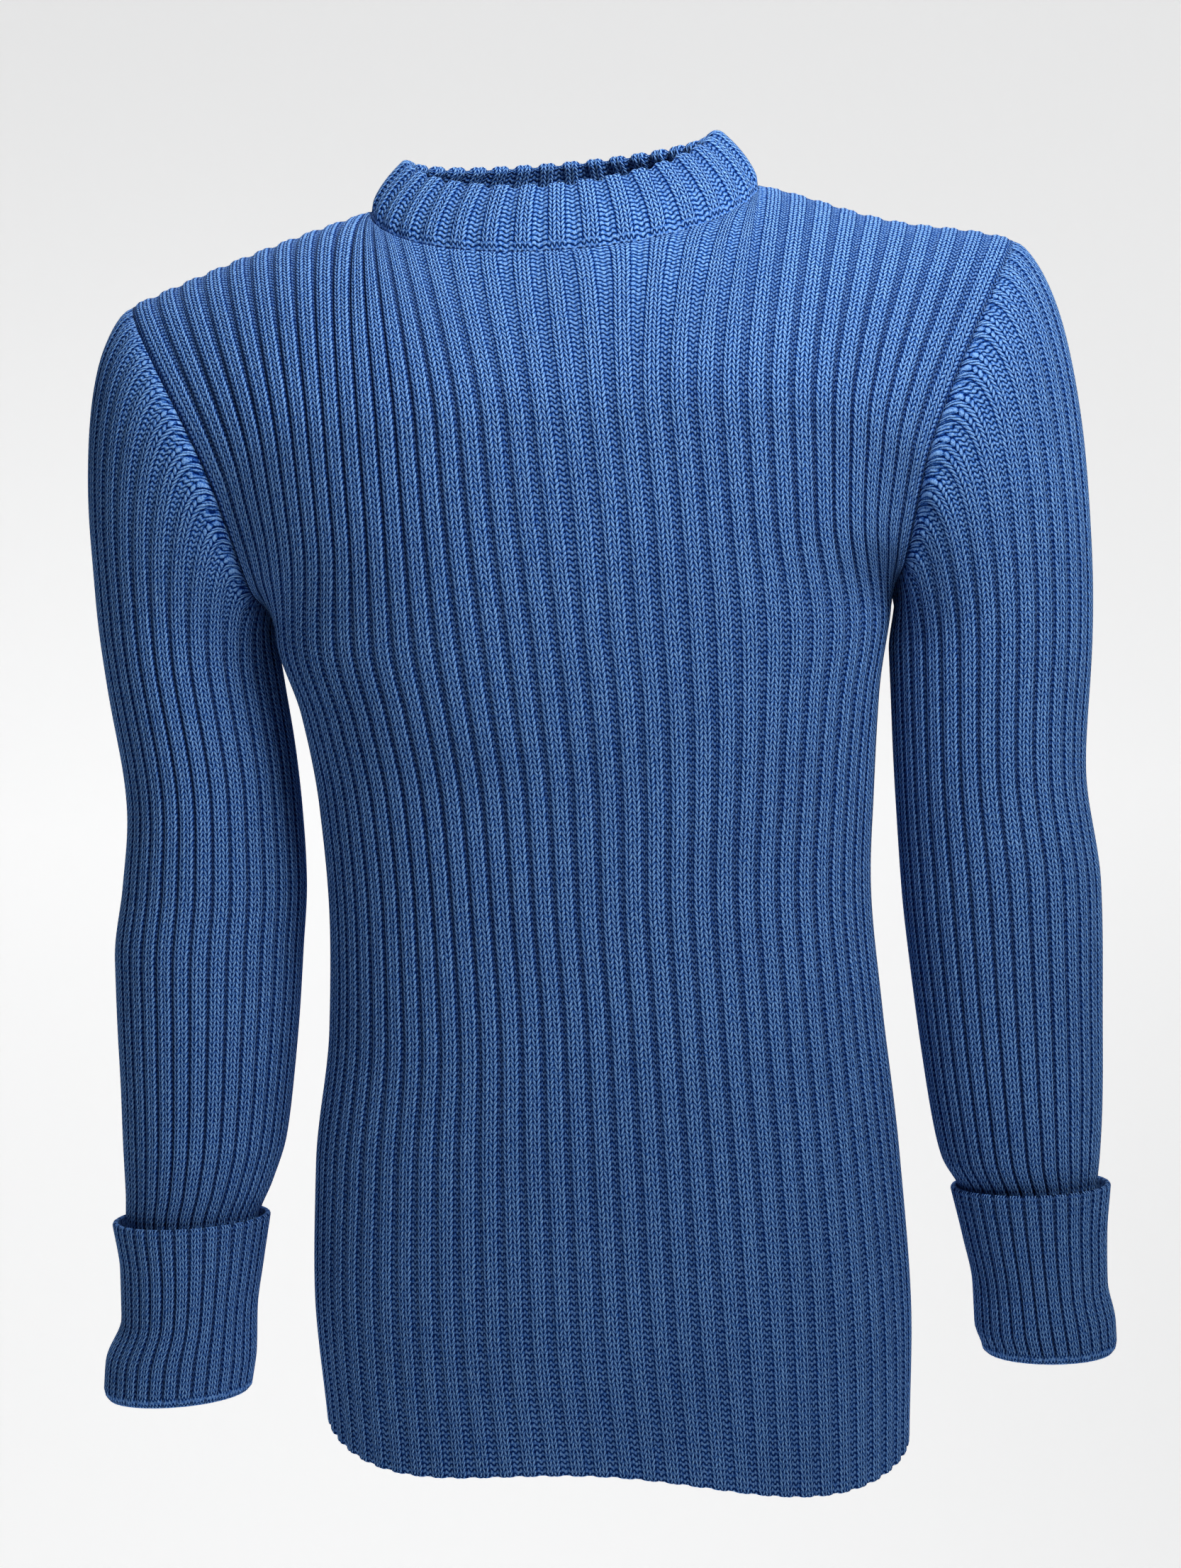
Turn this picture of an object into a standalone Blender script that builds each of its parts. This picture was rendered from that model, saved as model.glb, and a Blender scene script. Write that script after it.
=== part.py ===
"""Army sweater: a crew-neck jumper knitted all over in a wide rib, in the hollow form that a wearer gives it.

Front and back panels, two set-in sleeves, a doubled neckband and two cuffs, folded back on themselves.
Metres, +X the wearer's left, -Y the front, +Z up. The origin is the middle of the neck, level with the inner
ends of the shoulder seams.

Every piece is a wall of cloth between two grids: the outside, whose points are raised into ribs, and a plain
inside. Its outside is a loft through the sections in the tables below, which hold the tops of the ribs.
"""

from collections import namedtuple

import bpy
import numpy as np

COLLECTION = "army_sweater"

# Cloth: the wall is measured from the top of a rib to the inside
WALL = 0.0036
RIB_DEPTH = 0.0016
SEAM_GAP = 0.0005
NECK_GAP = 0.0007  # wider, because the neckband's ribs don't meet the panels' point for point
SEAM_STRETCH = 1.5  # how far a mitred seam may widen the wall, as a share of it
BAND_WALL = 0.0066  # the neckband is doubled
FOLD_WALL = 0.0031  # one layer of a folded cuff

# Ribs across or round each piece
PANEL_RIBS = 36
SLEEVE_RIBS = 32
BAND_RIBS = 34
RIB_TOP = (0.24, 0.76)  # where a wide rib's flat top starts and ends, in ribs
NECK_RIBS = 8  # ribs of a panel that end at half of its neckline
NECK_SHARE = NECK_RIBS * 2 / PANEL_RIBS

# Neck and shoulders
NECK_HALF = 0.106
NECK_FRONT_Y = -0.075
NECK_SIDE_Z = 0.004
NECK_FRONT_Z = -0.039
NECK_BACK_Y = 0.072
NECK_BACK_Z = 0.006
NECK_SQUARE = 2.2
NECK_DIP = 1.2
NECK_SPREAD = 1.15  # over 1 keeps the ribs closer together in the middle of the neckline
NECK_DRIFT = 0.115  # where the front's middle ribs end, as the drift of the body's sections
SHOULDER_X = 0.240
SHOULDER_Z = -0.0395
SHOULDER_ARCH = 0.002
SHOULDER_TILT = 0.008  # the wearer's left shoulder is the higher
LEFT_POINT_LIFT = 0.005  # its point stands up a little more
LEFT_SAG = 0.006  # and its middle sags
TILT_FROM_Z = -0.25
TILT_FULL_Z = -0.05

# Neckband's rim
RIM_HALF = 0.085
RIM_FRONT_Y = -0.055
RIM_BACK_Y = 0.060
RIM_SIDE_Z = 0.0337
RIM_TILT = 0.024
RIM_FRONT_Z = 0.0015
RIM_BACK_Z = 0.038
RIM_DIP = 1.2
BAND_BULGE = 0.0035
BAND_LEVELS = (0.0, 0.48, 0.92)
STEM_LEVEL = 0.3  # up to where the band's way out at its base is measured
CORNER_FALL = 0.3  # how far the shoulder seam falls for each step out, where it meets the band
RIM_TURNS = (45.0, 90.0, 135.0)  # places of the rim's rows over its round edge, in degrees

# Body sections from the hem to the chest. Heights and depths are at the middle and at the edge of a panel,
# wrap is how far the edge lies round the curve in degrees, even shares out the ribs by length, from 0 to 1,
# dip is how far the edge hangs between middle and side, lean is its fall towards the wearer's left, and drift
# is how far the front's middle ribs lie to the wearer's right, in half widths
Section = namedtuple(
    "Section", "mid_z edge_z centre_x half_width edge_y front_y back_y wrap even dip lean drift"
)
BODY = (
    Section(-0.662, -0.658, 0.0000, 0.1565, 0.000, -0.110, 0.100, 90, 1.0, 0.010, 0.080, 0.000),
    Section(-0.590, -0.590, 0.0000, 0.1605, 0.000, -0.109, 0.099, 90, 1.0, 0.000, 0.040, 0.000),
    Section(-0.515, -0.515, 0.0003, 0.1575, 0.000, -0.105, 0.093, 90, 1.0, 0.000, 0.015, 0.004),
    Section(-0.440, -0.440, 0.0025, 0.1495, 0.000, -0.101, 0.088, 90, 1.0, 0.000, 0.000, 0.016),
    Section(-0.380, -0.380, 0.0022, 0.1465, 0.000, -0.100, 0.088, 90, 0.9, 0.000, 0.000, 0.028),
    Section(-0.320, -0.320, 0.0030, 0.1500, 0.000, -0.104, 0.093, 90, 0.8, 0.000, 0.000, 0.042),
    Section(-0.280, -0.264, 0.0020, 0.1565, 0.000, -0.110, 0.099, 90, 0.7, 0.000, 0.000, 0.051),
    Section(-0.238, -0.222, 0.0000, 0.1665, 0.000, -0.115, 0.104, 90, 0.6, 0.000, 0.000, 0.062),
    Section(-0.185, -0.205, 0.0000, 0.1725, 0.048, -0.118, 0.108, 76, 0.4, 0.000, 0.000, 0.076),
    Section(-0.132, -0.165, 0.0000, 0.1820, 0.067, -0.119, 0.110, 66, 0.3, 0.000, 0.000, 0.090),
)
DRIFT_REACH = 0.75  # the drift fades out at this share of a panel's half width
UNDERARM = 7  # the section at whose edge the armhole starts
TORSO_SQUARE = 2.3
EDGE_POWER = 5  # how close to a panel's edge its height leaves the middle's
LOWER_ROWS = 5
YOKE_LEVELS = (0.28, 0.52, 0.72, 0.88, 1.0)
YOKE_PULL = 0.8
YOKE_SLOPE_STEP = 0.02  # over how much of the body below it the yoke's first slope is measured
SOFT_TOP_WIDTH = 0.30  # over how much of a panel's half width the corner at the neck is rounded below it
SOFT_TOP_SAMPLES = 9
CORNER_REACH = 4  # over 1 keeps that corner close to the seam
NECK_FRONT_SLOPE = 52  # degrees above level, where the front meets the neckband at its middle
NECK_BACK_SLOPE = 64
SHOULDER_SLOPE = 9

# Sleeve rings from the upper arm to the end under the cuff
Ring = namedtuple("Ring", "z centre_x centre_y half_x half_y")
SLEEVE_LEFT = (
    Ring(-0.250, 0.2180, 0.000, 0.0535, 0.0560),
    Ring(-0.320, 0.2150, 0.000, 0.0510, 0.0545),
    Ring(-0.380, 0.2182, -0.001, 0.0533, 0.0540),
    Ring(-0.440, 0.2190, -0.003, 0.0500, 0.0515),
    Ring(-0.500, 0.2205, -0.007, 0.0448, 0.0475),
    Ring(-0.522, 0.2215, -0.009, 0.0415, 0.0440),
    Ring(-0.540, 0.2250, -0.010, 0.0355, 0.0390),
    Ring(-0.565, 0.2270, -0.012, 0.0315, 0.0355),
)
SLEEVE_RIGHT = (
    Ring(-0.250, 0.2140, 0.000, 0.0480, 0.0550),
    Ring(-0.320, 0.2068, 0.000, 0.0475, 0.0530),
    Ring(-0.360, 0.2085, 0.000, 0.0500, 0.0530),
    Ring(-0.400, 0.2125, -0.002, 0.0512, 0.0525),
    Ring(-0.440, 0.2145, -0.003, 0.0490, 0.0510),
    Ring(-0.500, 0.2180, -0.007, 0.0440, 0.0470),
    Ring(-0.524, 0.2220, -0.009, 0.0395, 0.0430),
    Ring(-0.542, 0.2265, -0.010, 0.0355, 0.0390),
    Ring(-0.565, 0.2272, -0.012, 0.0320, 0.0360),
)
CAP_LEVELS = (0.0, 0.22, 0.46, 0.72)
ARM_DROPS = (0.0, 0.080, 0.160, 0.235, 0.272, 0.291, 0.315)
CAP_PULL = (0.62, 0.95)  # how far the cap carries on from the armhole, and into the upper arm
CAP_ROUND = (0.8, 0.3)  # how far it leaves the armhole away from the arm's middle, at shoulder and underarm
CAP_DOWN = (0.6, 0.9)  # the same downwards
CAP_OUT = 0.6  # and outwards, at the underarm
CAP_BY_ANGLE = 0.5  # 0 shares the sleeve's ribs along the armhole by length, 1 by their angle round the arm

# Folded cuffs, as rings of the outside layer from its free edge down to the fold
CUFF_LEFT = (
    Ring(-0.5390, 0.2260, -0.010, 0.0422, 0.0465),
    Ring(-0.5650, 0.2270, -0.012, 0.0380, 0.0425),
    Ring(-0.5900, 0.2285, -0.014, 0.0355, 0.0400),
    Ring(-0.6100, 0.2300, -0.016, 0.0370, 0.0415),
    Ring(-0.6200, 0.2315, -0.017, 0.0355, 0.0390),
)
CUFF_RIGHT = (
    Ring(-0.5420, 0.2270, -0.010, 0.0425, 0.0465),
    Ring(-0.5670, 0.2275, -0.012, 0.0385, 0.0430),
    Ring(-0.5920, 0.2295, -0.014, 0.0365, 0.0405),
    Ring(-0.6140, 0.2345, -0.016, 0.0405, 0.0425),
    Ring(-0.6290, 0.2365, -0.017, 0.0400, 0.0410),
)
FOLD_DROP = 0.006
CUFF_LAYER_GAP = 0.0015

CURVE_STEPS = 240  # steps of the fine curves that points are measured along
TINY = 1e-9

KNIT_BLUE = (0.030, 0.105, 0.270)
BAND_BLUE = (0.036, 0.118, 0.290)


def unit(vectors):
    return vectors / np.maximum(np.linalg.norm(vectors, axis=-1, keepdims=True), TINY)


def smooth_step(share):
    share = np.clip(share, 0.0, 1.0)
    return share * share * (3.0 - 2.0 * share)


def hermite(start, start_pull, end, end_pull, share):
    """A cubic from start to end that leaves along start_pull and arrives along end_pull."""
    s = np.asarray(share)[:, None, None]
    return (
        (2 * s**3 - 3 * s**2 + 1) * start
        + (s**3 - 2 * s**2 + s) * start_pull
        + (3 * s**2 - 2 * s**3) * end
        + (s**3 - s**2) * end_pull
    )


def smooth_through(knots, rows, at):
    """Rows of points at new places on a smooth curve through rows at knots, which never overshoots them."""
    steps = np.diff(knots)[:, None, None]
    rise = np.diff(rows, axis=0) / steps
    slopes = np.empty_like(rows)
    slopes[0], slopes[-1] = rise[0], rise[-1]
    before, after = rise[:-1], rise[1:]
    near, far = 2 * steps[1:] + steps[:-1], steps[1:] + 2 * steps[:-1]
    turning = before * after <= 0
    ratio = near / np.where(turning, 1.0, before) + far / np.where(turning, 1.0, after)
    slopes[1:-1] = np.where(turning, 0.0, (near + far) / ratio)
    at = np.asarray(at, dtype=float)
    cell = np.clip(np.searchsorted(knots, at, side="right") - 1, 0, len(knots) - 2)
    s = ((at - knots[cell]) / np.diff(knots)[cell])[:, None, None]
    span = steps[cell]
    return (
        (2 * s**3 - 3 * s**2 + 1) * rows[cell]
        + (s**3 - 2 * s**2 + s) * slopes[cell] * span
        + (3 * s**2 - 2 * s**3) * rows[cell + 1]
        + (s**3 - s**2) * slopes[cell + 1] * span
    )


def lengths_along(points):
    """Distance of each point of a line from its first."""
    return np.concatenate([[0.0], np.cumsum(np.linalg.norm(np.diff(points, axis=0), axis=1))])


def at_distances(points, values, distances):
    """Values given at the points of a line, read between them at distances along it."""
    along = lengths_along(points)
    return np.stack([np.interp(distances, along, values[:, i]) for i in range(values.shape[1])], axis=1)


def wide_ribs(count):
    """Places and depths of the points of wide ribs, each a gutter and the two ends of a flat top."""
    places = (np.arange(count)[:, None] + np.array((0.0, *RIB_TOP))).ravel() / count
    return places, np.tile((RIB_DEPTH, 0.0, 0.0), count)


def narrow_ribs(count):
    """Places and depths of the points of narrow ribs, each a gutter and a crest."""
    return np.arange(2 * count) / (2 * count), np.tile((RIB_DEPTH, 0.0), count)


def outward(points, sign, wraps):
    """Unit normals of a grid of points, from its neighbours along and across."""
    up = np.gradient(points, axis=0)
    if wraps:
        across = np.roll(points, -1, axis=1) - np.roll(points, 1, axis=1)
    else:
        across = np.gradient(points, axis=1)
    return sign * unit(np.cross(across, up))


def section_points(section, side, across):
    """One section of a panel: a squarish arc from edge to edge, by the sine and cosine of its turn."""
    wrap = np.radians(section.wrap)
    power = 2.0 / TORSO_SQUARE
    turn = np.linspace(0.0, wrap, CURVE_STEPS + 1)
    sine = np.sin(turn) ** power / np.sin(wrap) ** power
    edge_cosine = max(np.cos(wrap), 0.0) ** power
    cosine = (np.maximum(np.cos(turn), 0.0) ** power - edge_cosine) / (1.0 - edge_cosine)
    mid_y = section.front_y if side < 0 else section.back_y
    edge_y = side * section.edge_y
    half = np.stack([section.half_width * sine, edge_y + (mid_y - edge_y) * cosine], axis=1)
    length = lengths_along(half)
    if side < 0:
        across = across - section.drift * (1.0 - np.clip(np.abs(across) / DRIFT_REACH, 0.0, 1.0) ** 2) ** 2
    reach = np.abs(across)
    by_length = np.interp(reach * length[-1], length, turn)
    picked = section.even * by_length + (1.0 - section.even) * reach * wrap
    x = np.interp(picked, turn, half[:, 0])
    q = (x / section.half_width) ** 2
    z = section.mid_z + (section.edge_z - section.mid_z) * reach**EDGE_POWER
    z -= section.dip * 4.0 * q * (1.0 - q)
    x *= np.sign(across)
    y = np.interp(picked, turn, half[:, 1])
    return np.stack([section.centre_x + x, y, z - section.lean * x], axis=1)


def neckline(side, share):
    """The neck seam of a panel, from its middle at 0 to the shoulder seam at 1 or -1."""
    turn = np.linspace(0.0, np.pi / 2, CURVE_STEPS + 1)
    power = 2.0 / NECK_SQUARE
    deep = np.maximum(np.cos(turn), 0.0) ** power
    y, z = (NECK_FRONT_Y, NECK_FRONT_Z) if side < 0 else (NECK_BACK_Y, NECK_BACK_Z)
    height = NECK_SIDE_Z + (z - NECK_SIDE_Z) * deep**NECK_DIP
    curve = np.stack([NECK_HALF * np.sin(turn) ** power, y * deep, height], axis=1)
    distances = np.abs(share) ** NECK_SPREAD * lengths_along(curve)[-1]
    points = at_distances(curve, curve, distances)
    points[:, 0] *= np.sign(share)
    return points


def top_seam(side, across):
    """The upper edge of a panel: the neckline in the middle, and a shoulder seam on each side of it."""
    share = np.clip(across / NECK_SHARE, -1.0, 1.0)
    drift = NECK_DRIFT / NECK_SHARE if side < 0 else 0.0
    points = neckline(side, share - drift * (1.0 - share**2))
    out = np.clip((np.abs(across) - NECK_SHARE) / (1.0 - NECK_SHARE), 0.0, 1.0)
    points[:, 0] += np.sign(across) * (SHOULDER_X - NECK_HALF) * out
    points[:, 2] += (SHOULDER_Z - NECK_SIDE_Z) * out + SHOULDER_ARCH * np.sin(np.pi * out)
    return points


def soft_top(side, across):
    """The upper edge with its corner at the neck rounded off, which the cloth below it follows."""
    total = np.zeros((len(across), 3))
    offsets = np.linspace(-SOFT_TOP_WIDTH, SOFT_TOP_WIDTH, SOFT_TOP_SAMPLES + 2)[1:-1]
    weights = SOFT_TOP_WIDTH - np.abs(offsets)
    for offset, weight in zip(offsets, weights / weights.sum()):
        moved = across + offset
        inside = np.clip(moved, -1.0, 1.0)
        past = np.abs(moved) > 1.0
        folded = np.where(past, 2.0 * np.sign(moved) - moved, moved)
        points = top_seam(side, folded)
        points[past] = 2.0 * top_seam(side, inside[past]) - points[past]
        total += weight * points
    return total


def panel_knots(sections):
    """Place of each section between hem at 0 and chest at 1, by the mean length of cloth between them."""
    steps = np.linalg.norm(np.diff(sections, axis=0), axis=2).mean(axis=1)
    return np.concatenate([[0.0], np.cumsum(steps)]) / steps.sum()


def panel_levels(knots):
    """Levels of a panel's rows: 0 at the hem, 1 at the chest and 2 at the top seam."""
    lower = np.linspace(0.0, knots[UNDERARM], LOWER_ROWS + 1)
    return np.concatenate([lower, knots[UNDERARM + 1 :], 1.0 + np.array(YOKE_LEVELS)])


def panel_points(side, across):
    """A panel's outside: smooth through the body's sections, then a yoke bent to neck and shoulders."""
    sections = np.array([section_points(section, side, across) for section in BODY])
    knots = panel_knots(sections)
    levels = panel_levels(knots)
    lower = smooth_through(knots, sections, levels[levels <= 1.0])
    top = soft_top(side, across)
    corner = top_seam(side, across) - top
    reach = np.linalg.norm(top - sections[-1], axis=1, keepdims=True) * YOKE_PULL
    climb = unit(sections[-1] - smooth_through(knots, sections, [1.0 - YOKE_SLOPE_STEP])[0])
    slope = NECK_FRONT_SLOPE if side < 0 else NECK_BACK_SLOPE
    toward_shoulder = smooth_step(np.abs(across) / NECK_SHARE)
    angle = np.radians(slope + (SHOULDER_SLOPE - slope) * toward_shoulder)
    arrive = np.stack([np.zeros_like(angle), -side * np.cos(angle), np.sin(angle)], axis=1)
    share = levels[levels > 1.0] - 1.0
    yoke = hermite(sections[-1], climb * reach, top, arrive * reach, share)
    return np.concatenate([lower, yoke + corner * share[:, None, None] ** CORNER_REACH])


class Panel:
    """The front or the back: its outside, the way out of the cloth, and how far each seam draws it in."""

    def __init__(self, side):
        self.side = side
        places, depths = wide_ribs(PANEL_RIBS)
        self.depths = np.append(depths, depths[0])
        across = np.append(places, 1.0) * 2.0 - 1.0
        self.points = panel_points(side, across)
        self.way_out = outward(self.points, -side, wraps=False)
        self.inset = np.zeros_like(self.points)
        self.neck = np.flatnonzero(np.abs(across) < NECK_SHARE + TINY)
        self.armhole = np.arange(LOWER_ROWS, len(self.points))


def seam_way_out(own, other):
    """The way out of the cloth that two pieces share at a seam, longer where they meet at an angle."""
    shared = unit(own + other)
    lean = np.maximum((shared * own).sum(axis=-1, keepdims=True), 1.0 / SEAM_STRETCH)
    return shared / lean


def away_from_seam(line, inner, way_out, wraps, gap=SEAM_GAP):
    """Half a seam's gap at each point of its line, square to the seam and towards the next points in."""
    if wraps:
        along = np.roll(line, -1, axis=0) - np.roll(line, 1, axis=0)
    else:
        along = np.gradient(line, axis=0)
    square = unit(np.cross(along, way_out))
    inwards = np.sign((square * (inner - line)).sum(axis=-1, keepdims=True))
    return square * inwards * gap / 2


def ring_points(ring, turn):
    """An ellipse round the arm. Turn is 0 at the outside of the arm and a quarter turn at its front."""
    return np.stack(
        [
            ring.centre_x + ring.half_x * np.cos(turn),
            ring.centre_y - ring.half_y * np.sin(turn),
            np.full_like(turn, ring.z),
        ],
        axis=1,
    )


def sleeve_turns():
    """Angles of a sleeve's points, from the underarm by the front to the shoulder and back behind."""
    places, depths = narrow_ribs(SLEEVE_RIBS)
    return np.pi - 2.0 * np.pi * places, depths


def armhole_places(line, centre_x, columns):
    """Where the sleeve's columns start along half an armhole, from the underarm up to the shoulder.

    Each point of the line gets the nearest column to itself, so that panel and sleeve meet along the same
    chords.
    """
    by_length = lengths_along(line)
    angle = np.pi - np.arctan2(np.abs(line[:, 1]), line[:, 0] - centre_x)
    mixed = (1.0 - CAP_BY_ANGLE) * by_length / by_length[-1] + CAP_BY_ANGLE * angle / np.pi
    nearest = np.rint(mixed * columns).astype(int)
    nearest[0], nearest[-1] = 0, columns
    for i in range(1, len(nearest)):
        nearest[i] = max(nearest[i], nearest[i - 1] + 1)
    for i in range(len(nearest) - 2, 0, -1):
        nearest[i] = min(nearest[i], nearest[i + 1] - 1)
    return np.interp(np.arange(columns + 1), nearest, by_length), nearest


def cap_leave(turn):
    """Direction in which the sleeve leaves the armhole: outwards at the shoulder, down at the underarm."""
    low = (1.0 - np.cos(turn)) / 2.0
    round_arm = CAP_ROUND[0] + (CAP_ROUND[1] - CAP_ROUND[0]) * low
    down = CAP_DOWN[0] + (CAP_DOWN[1] - CAP_DOWN[0]) * low
    out = round_arm * np.cos(turn) + CAP_OUT * low
    return unit(np.stack([out, -round_arm * np.sin(turn), -down], axis=1))


def sleeve_points(start, rings, turn):
    """A sleeve's outside: a cap that bends from the armhole down the arm, then smooth through its rings."""
    down = np.array([ring_points(ring, turn) for ring in rings])
    knots = np.array([rings[0].z - ring.z for ring in rings])
    reach = np.linalg.norm(down[0] - start, axis=1, keepdims=True)
    leave = cap_leave(turn) * reach * CAP_PULL[0]
    arrive = unit(down[1] - down[0]) * reach * CAP_PULL[1]
    cap = hermite(start, leave, down[0], arrive, CAP_LEVELS)
    arm = smooth_through(knots, down, ARM_DROPS)
    return np.concatenate([cap, arm])


class Sleeve:
    """A sleeve on one side of the body, worked out as a left one and mirrored for the right.

    It takes its first row from the panels' armhole edges and gives them the way out that both share there.
    """

    def __init__(self, front, back, rings, mirror):
        flip = np.array([-1.0 if mirror else 1.0, 1.0, 1.0])
        edge = 0 if mirror else -1
        inner = 1 if mirror else -2
        turn, self.depths = sleeve_turns()
        columns = len(turn) // 2
        lines, corner_columns = [], []
        for panel in (front, back):
            line = panel.points[panel.armhole, edge] * flip
            distances, nearest = armhole_places(line, rings[0].centre_x, columns)
            lines.append((line, distances))
            corner_columns.append(nearest)
        start = np.concatenate(
            [
                at_distances(lines[0][0], lines[0][0], lines[0][1]),
                at_distances(lines[1][0], lines[1][0], lines[1][1])[-2:0:-1],
            ]
        )
        self.points = sleeve_points(start, rings, turn)
        own = outward(self.points, -1.0, wraps=True)
        self.way_out = own.copy()
        self.inset = np.zeros_like(self.points)
        halves = []
        for panel, (line, distances), nearest, reverse in (
            (front, lines[0], corner_columns[0], False),
            (back, lines[1], corner_columns[1], True),
        ):
            column = (-nearest) % len(turn) if reverse else nearest % len(turn)
            panel_own = panel.way_out[panel.armhole, edge] * flip
            for end in (0, -1):
                other = (back if panel is front else front).way_out[panel.armhole[end], edge] * flip
                panel_own[end] = unit(panel_own[end] + other)
            shared = seam_way_out(panel_own, own[0, column])
            inset = away_from_seam(line, panel.points[panel.armhole, inner] * flip, shared, False)
            halves.append((panel, line, distances, shared, inset))
        for end in (0, -1):
            shared = (halves[0][3][end] + halves[1][3][end]) / 2
            inset = (halves[0][4][end] + halves[1][4][end]) / 2
            for half in halves:
                half[3][end] = shared
                half[4][end] = inset
        rows = []
        for panel, line, distances, shared, inset in halves:
            panel.way_out[panel.armhole, edge] = shared * flip
            panel.inset[panel.armhole, edge] = inset * flip
            rows.append((at_distances(line, shared, distances), at_distances(line, inset, distances)))
        self.way_out[0] = np.concatenate([rows[0][0], rows[1][0][-2:0:-1]])
        self.inset[0] = -np.concatenate([rows[0][1], rows[1][1][-2:0:-1]])
        for field in (self.points, self.way_out, self.inset):
            field *= flip


def share_side_seams(front, back):
    """Gives the front and back one way out of the cloth along the side seams, and a gap between them."""
    below = slice(0, LOWER_ROWS)
    for edge in (0, -1):
        shared = unit(front.way_out[below, edge] + back.way_out[below, edge])
        front.way_out[below, edge] = back.way_out[below, edge] = shared
        for panel in (front, back):
            panel.inset[: LOWER_ROWS + 1, edge, 1] += panel.side * SEAM_GAP / 2


def share_shoulder_seams(front, back):
    """The same along the shoulder seams, from the neck to the armhole."""
    last = front.neck[-1]
    for columns in (np.arange(1, front.neck[0]), np.arange(last + 1, len(front.depths) - 1)):
        shared = seam_way_out(front.way_out[-1, columns], back.way_out[-1, columns])
        front.way_out[-1, columns] = back.way_out[-1, columns] = shared
    for panel in (front, back):
        for columns in (slice(0, front.neck[0] + 1), slice(last, None)):
            panel.inset[-1, columns, 1] += panel.side * SEAM_GAP / 2


def rim_points(turn):
    """The neckband's rim, an ellipse lowest in front. Turn is 0 at the wearer's left, a quarter behind."""
    sine = np.sin(turn)
    depth = np.where(sine < 0, -RIM_FRONT_Y, RIM_BACK_Y)
    rise = np.where(sine < 0, RIM_FRONT_Z - RIM_SIDE_Z, RIM_BACK_Z - RIM_SIDE_Z)
    z = RIM_SIDE_Z + rise * np.abs(sine) ** RIM_DIP + RIM_TILT * RIM_HALF * np.cos(turn)
    return np.stack([RIM_HALF * np.cos(turn), depth * sine, z], axis=1)


class Neckband:
    """The doubled band: it stands on the neckline and its outside, rim and inside are all ribbed."""

    def __init__(self, front, back):
        line = np.concatenate([front.points[-1, front.neck], back.points[-1, back.neck[-2:0:-1]]])
        ring = np.concatenate([line, line[:1]])
        places, self.depths = wide_ribs(BAND_RIBS)
        along = lengths_along(ring)
        distances = np.interp(places, (0.0, 0.5, 1.0), (0.0, along[len(front.neck) - 1], along[-1]))
        self.base = at_distances(ring, ring, distances)
        self.outside = self.surface(self.base, np.array(BAND_LEVELS))
        self.way_out = outward(self.outside, 1.0, wraps=True)
        self.share_neck_seam(front, back, line, ring, distances)

    def surface(self, base, levels):
        """The band's outside at levels from its base at 0 to its rim at 1."""
        depth = np.where(base[:, 1] < 0, -NECK_FRONT_Y, NECK_BACK_Y)
        turn = np.arctan2(base[:, 1] / depth, base[:, 0] / NECK_HALF)
        rim = rim_points(turn)
        bulge = BAND_BULGE * unit(np.stack([base[:, 0], base[:, 1], np.zeros(len(base))], axis=1))
        v = levels[:, None, None]
        return base + (rim - base) * v + bulge * 4.0 * v * (1.0 - v)

    def share_neck_seam(self, front, back, line, ring, distances):
        """Gives the panels and the band one way out of the cloth at the neck seam, and a gap between them."""
        stem = outward(self.surface(line, np.array((0.0, STEM_LEVEL))), 1.0, wraps=True)[0]
        panels = np.concatenate([front.way_out[-1, front.neck], back.way_out[-1, back.neck[-2:0:-1]]])
        inner = np.concatenate([front.points[-2, front.neck], back.points[-2, back.neck[-2:0:-1]]])
        for i, column in ((0, front.neck[0]), (len(front.neck) - 1, front.neck[-1])):
            panels[i] = unit(front.way_out[-1, column] + back.way_out[-1, column])
            inner[i] = line[i] + np.array([np.sign(line[i, 0]), 0.0, -CORNER_FALL])
        shared = seam_way_out(panels, stem)
        inset = away_from_seam(line, inner, shared, True, NECK_GAP)
        middle = len(front.neck)
        back_order = np.concatenate([[middle - 1], np.arange(middle, len(line)), [0]])[::-1]
        front.way_out[-1, front.neck] = shared[:middle]
        front.inset[-1, front.neck] += inset[:middle]
        back.way_out[-1, back.neck] = shared[back_order]
        back.inset[-1, back.neck] += inset[back_order]
        close = np.arange(len(line) + 1) % len(line)
        self.way_out[0] = at_distances(ring, shared[close], distances)
        self.base_inset = -at_distances(ring, inset[close], distances)


def tilt_shoulders(points):
    """Raises the wearer's left shoulder and lowers the right, fading out down the chest."""
    share = smooth_step((points[:, 2] - TILT_FROM_Z) / (TILT_FULL_Z - TILT_FROM_Z))
    out = np.clip((points[:, 0] - NECK_HALF) / (SHOULDER_X - NECK_HALF), 0.0, 1.0)
    lift = LEFT_POINT_LIFT * smooth_step(out) - LEFT_SAG * np.sin(np.pi * out) ** 2
    points[:, 2] += (SHOULDER_TILT * points[:, 0] + lift) * share
    return points


def strip(first, second, wraps):
    """Faces between two rows of point numbers, one of which may have several steps to each of the other's."""
    if wraps:
        first, second = np.append(first, first[0]), np.append(second, second[0])
    if len(first) < len(second):
        return [face[::-1] for face in strip(second, first, False)]
    faces = []
    ratio = (len(first) - 1) // (len(second) - 1)
    for i in range(len(second) - 1):
        fine = first[ratio * i : ratio * (i + 1) + 1]
        if ratio == 1:
            faces.append((fine[0], fine[1], second[i + 1], second[i]))
            continue
        turn = (ratio + 1) // 2
        for j in range(ratio):
            faces.append((fine[j], fine[j + 1], second[i] if j < turn else second[i + 1]))
        faces.append((fine[turn], second[i + 1], second[i]))
    return faces


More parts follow.
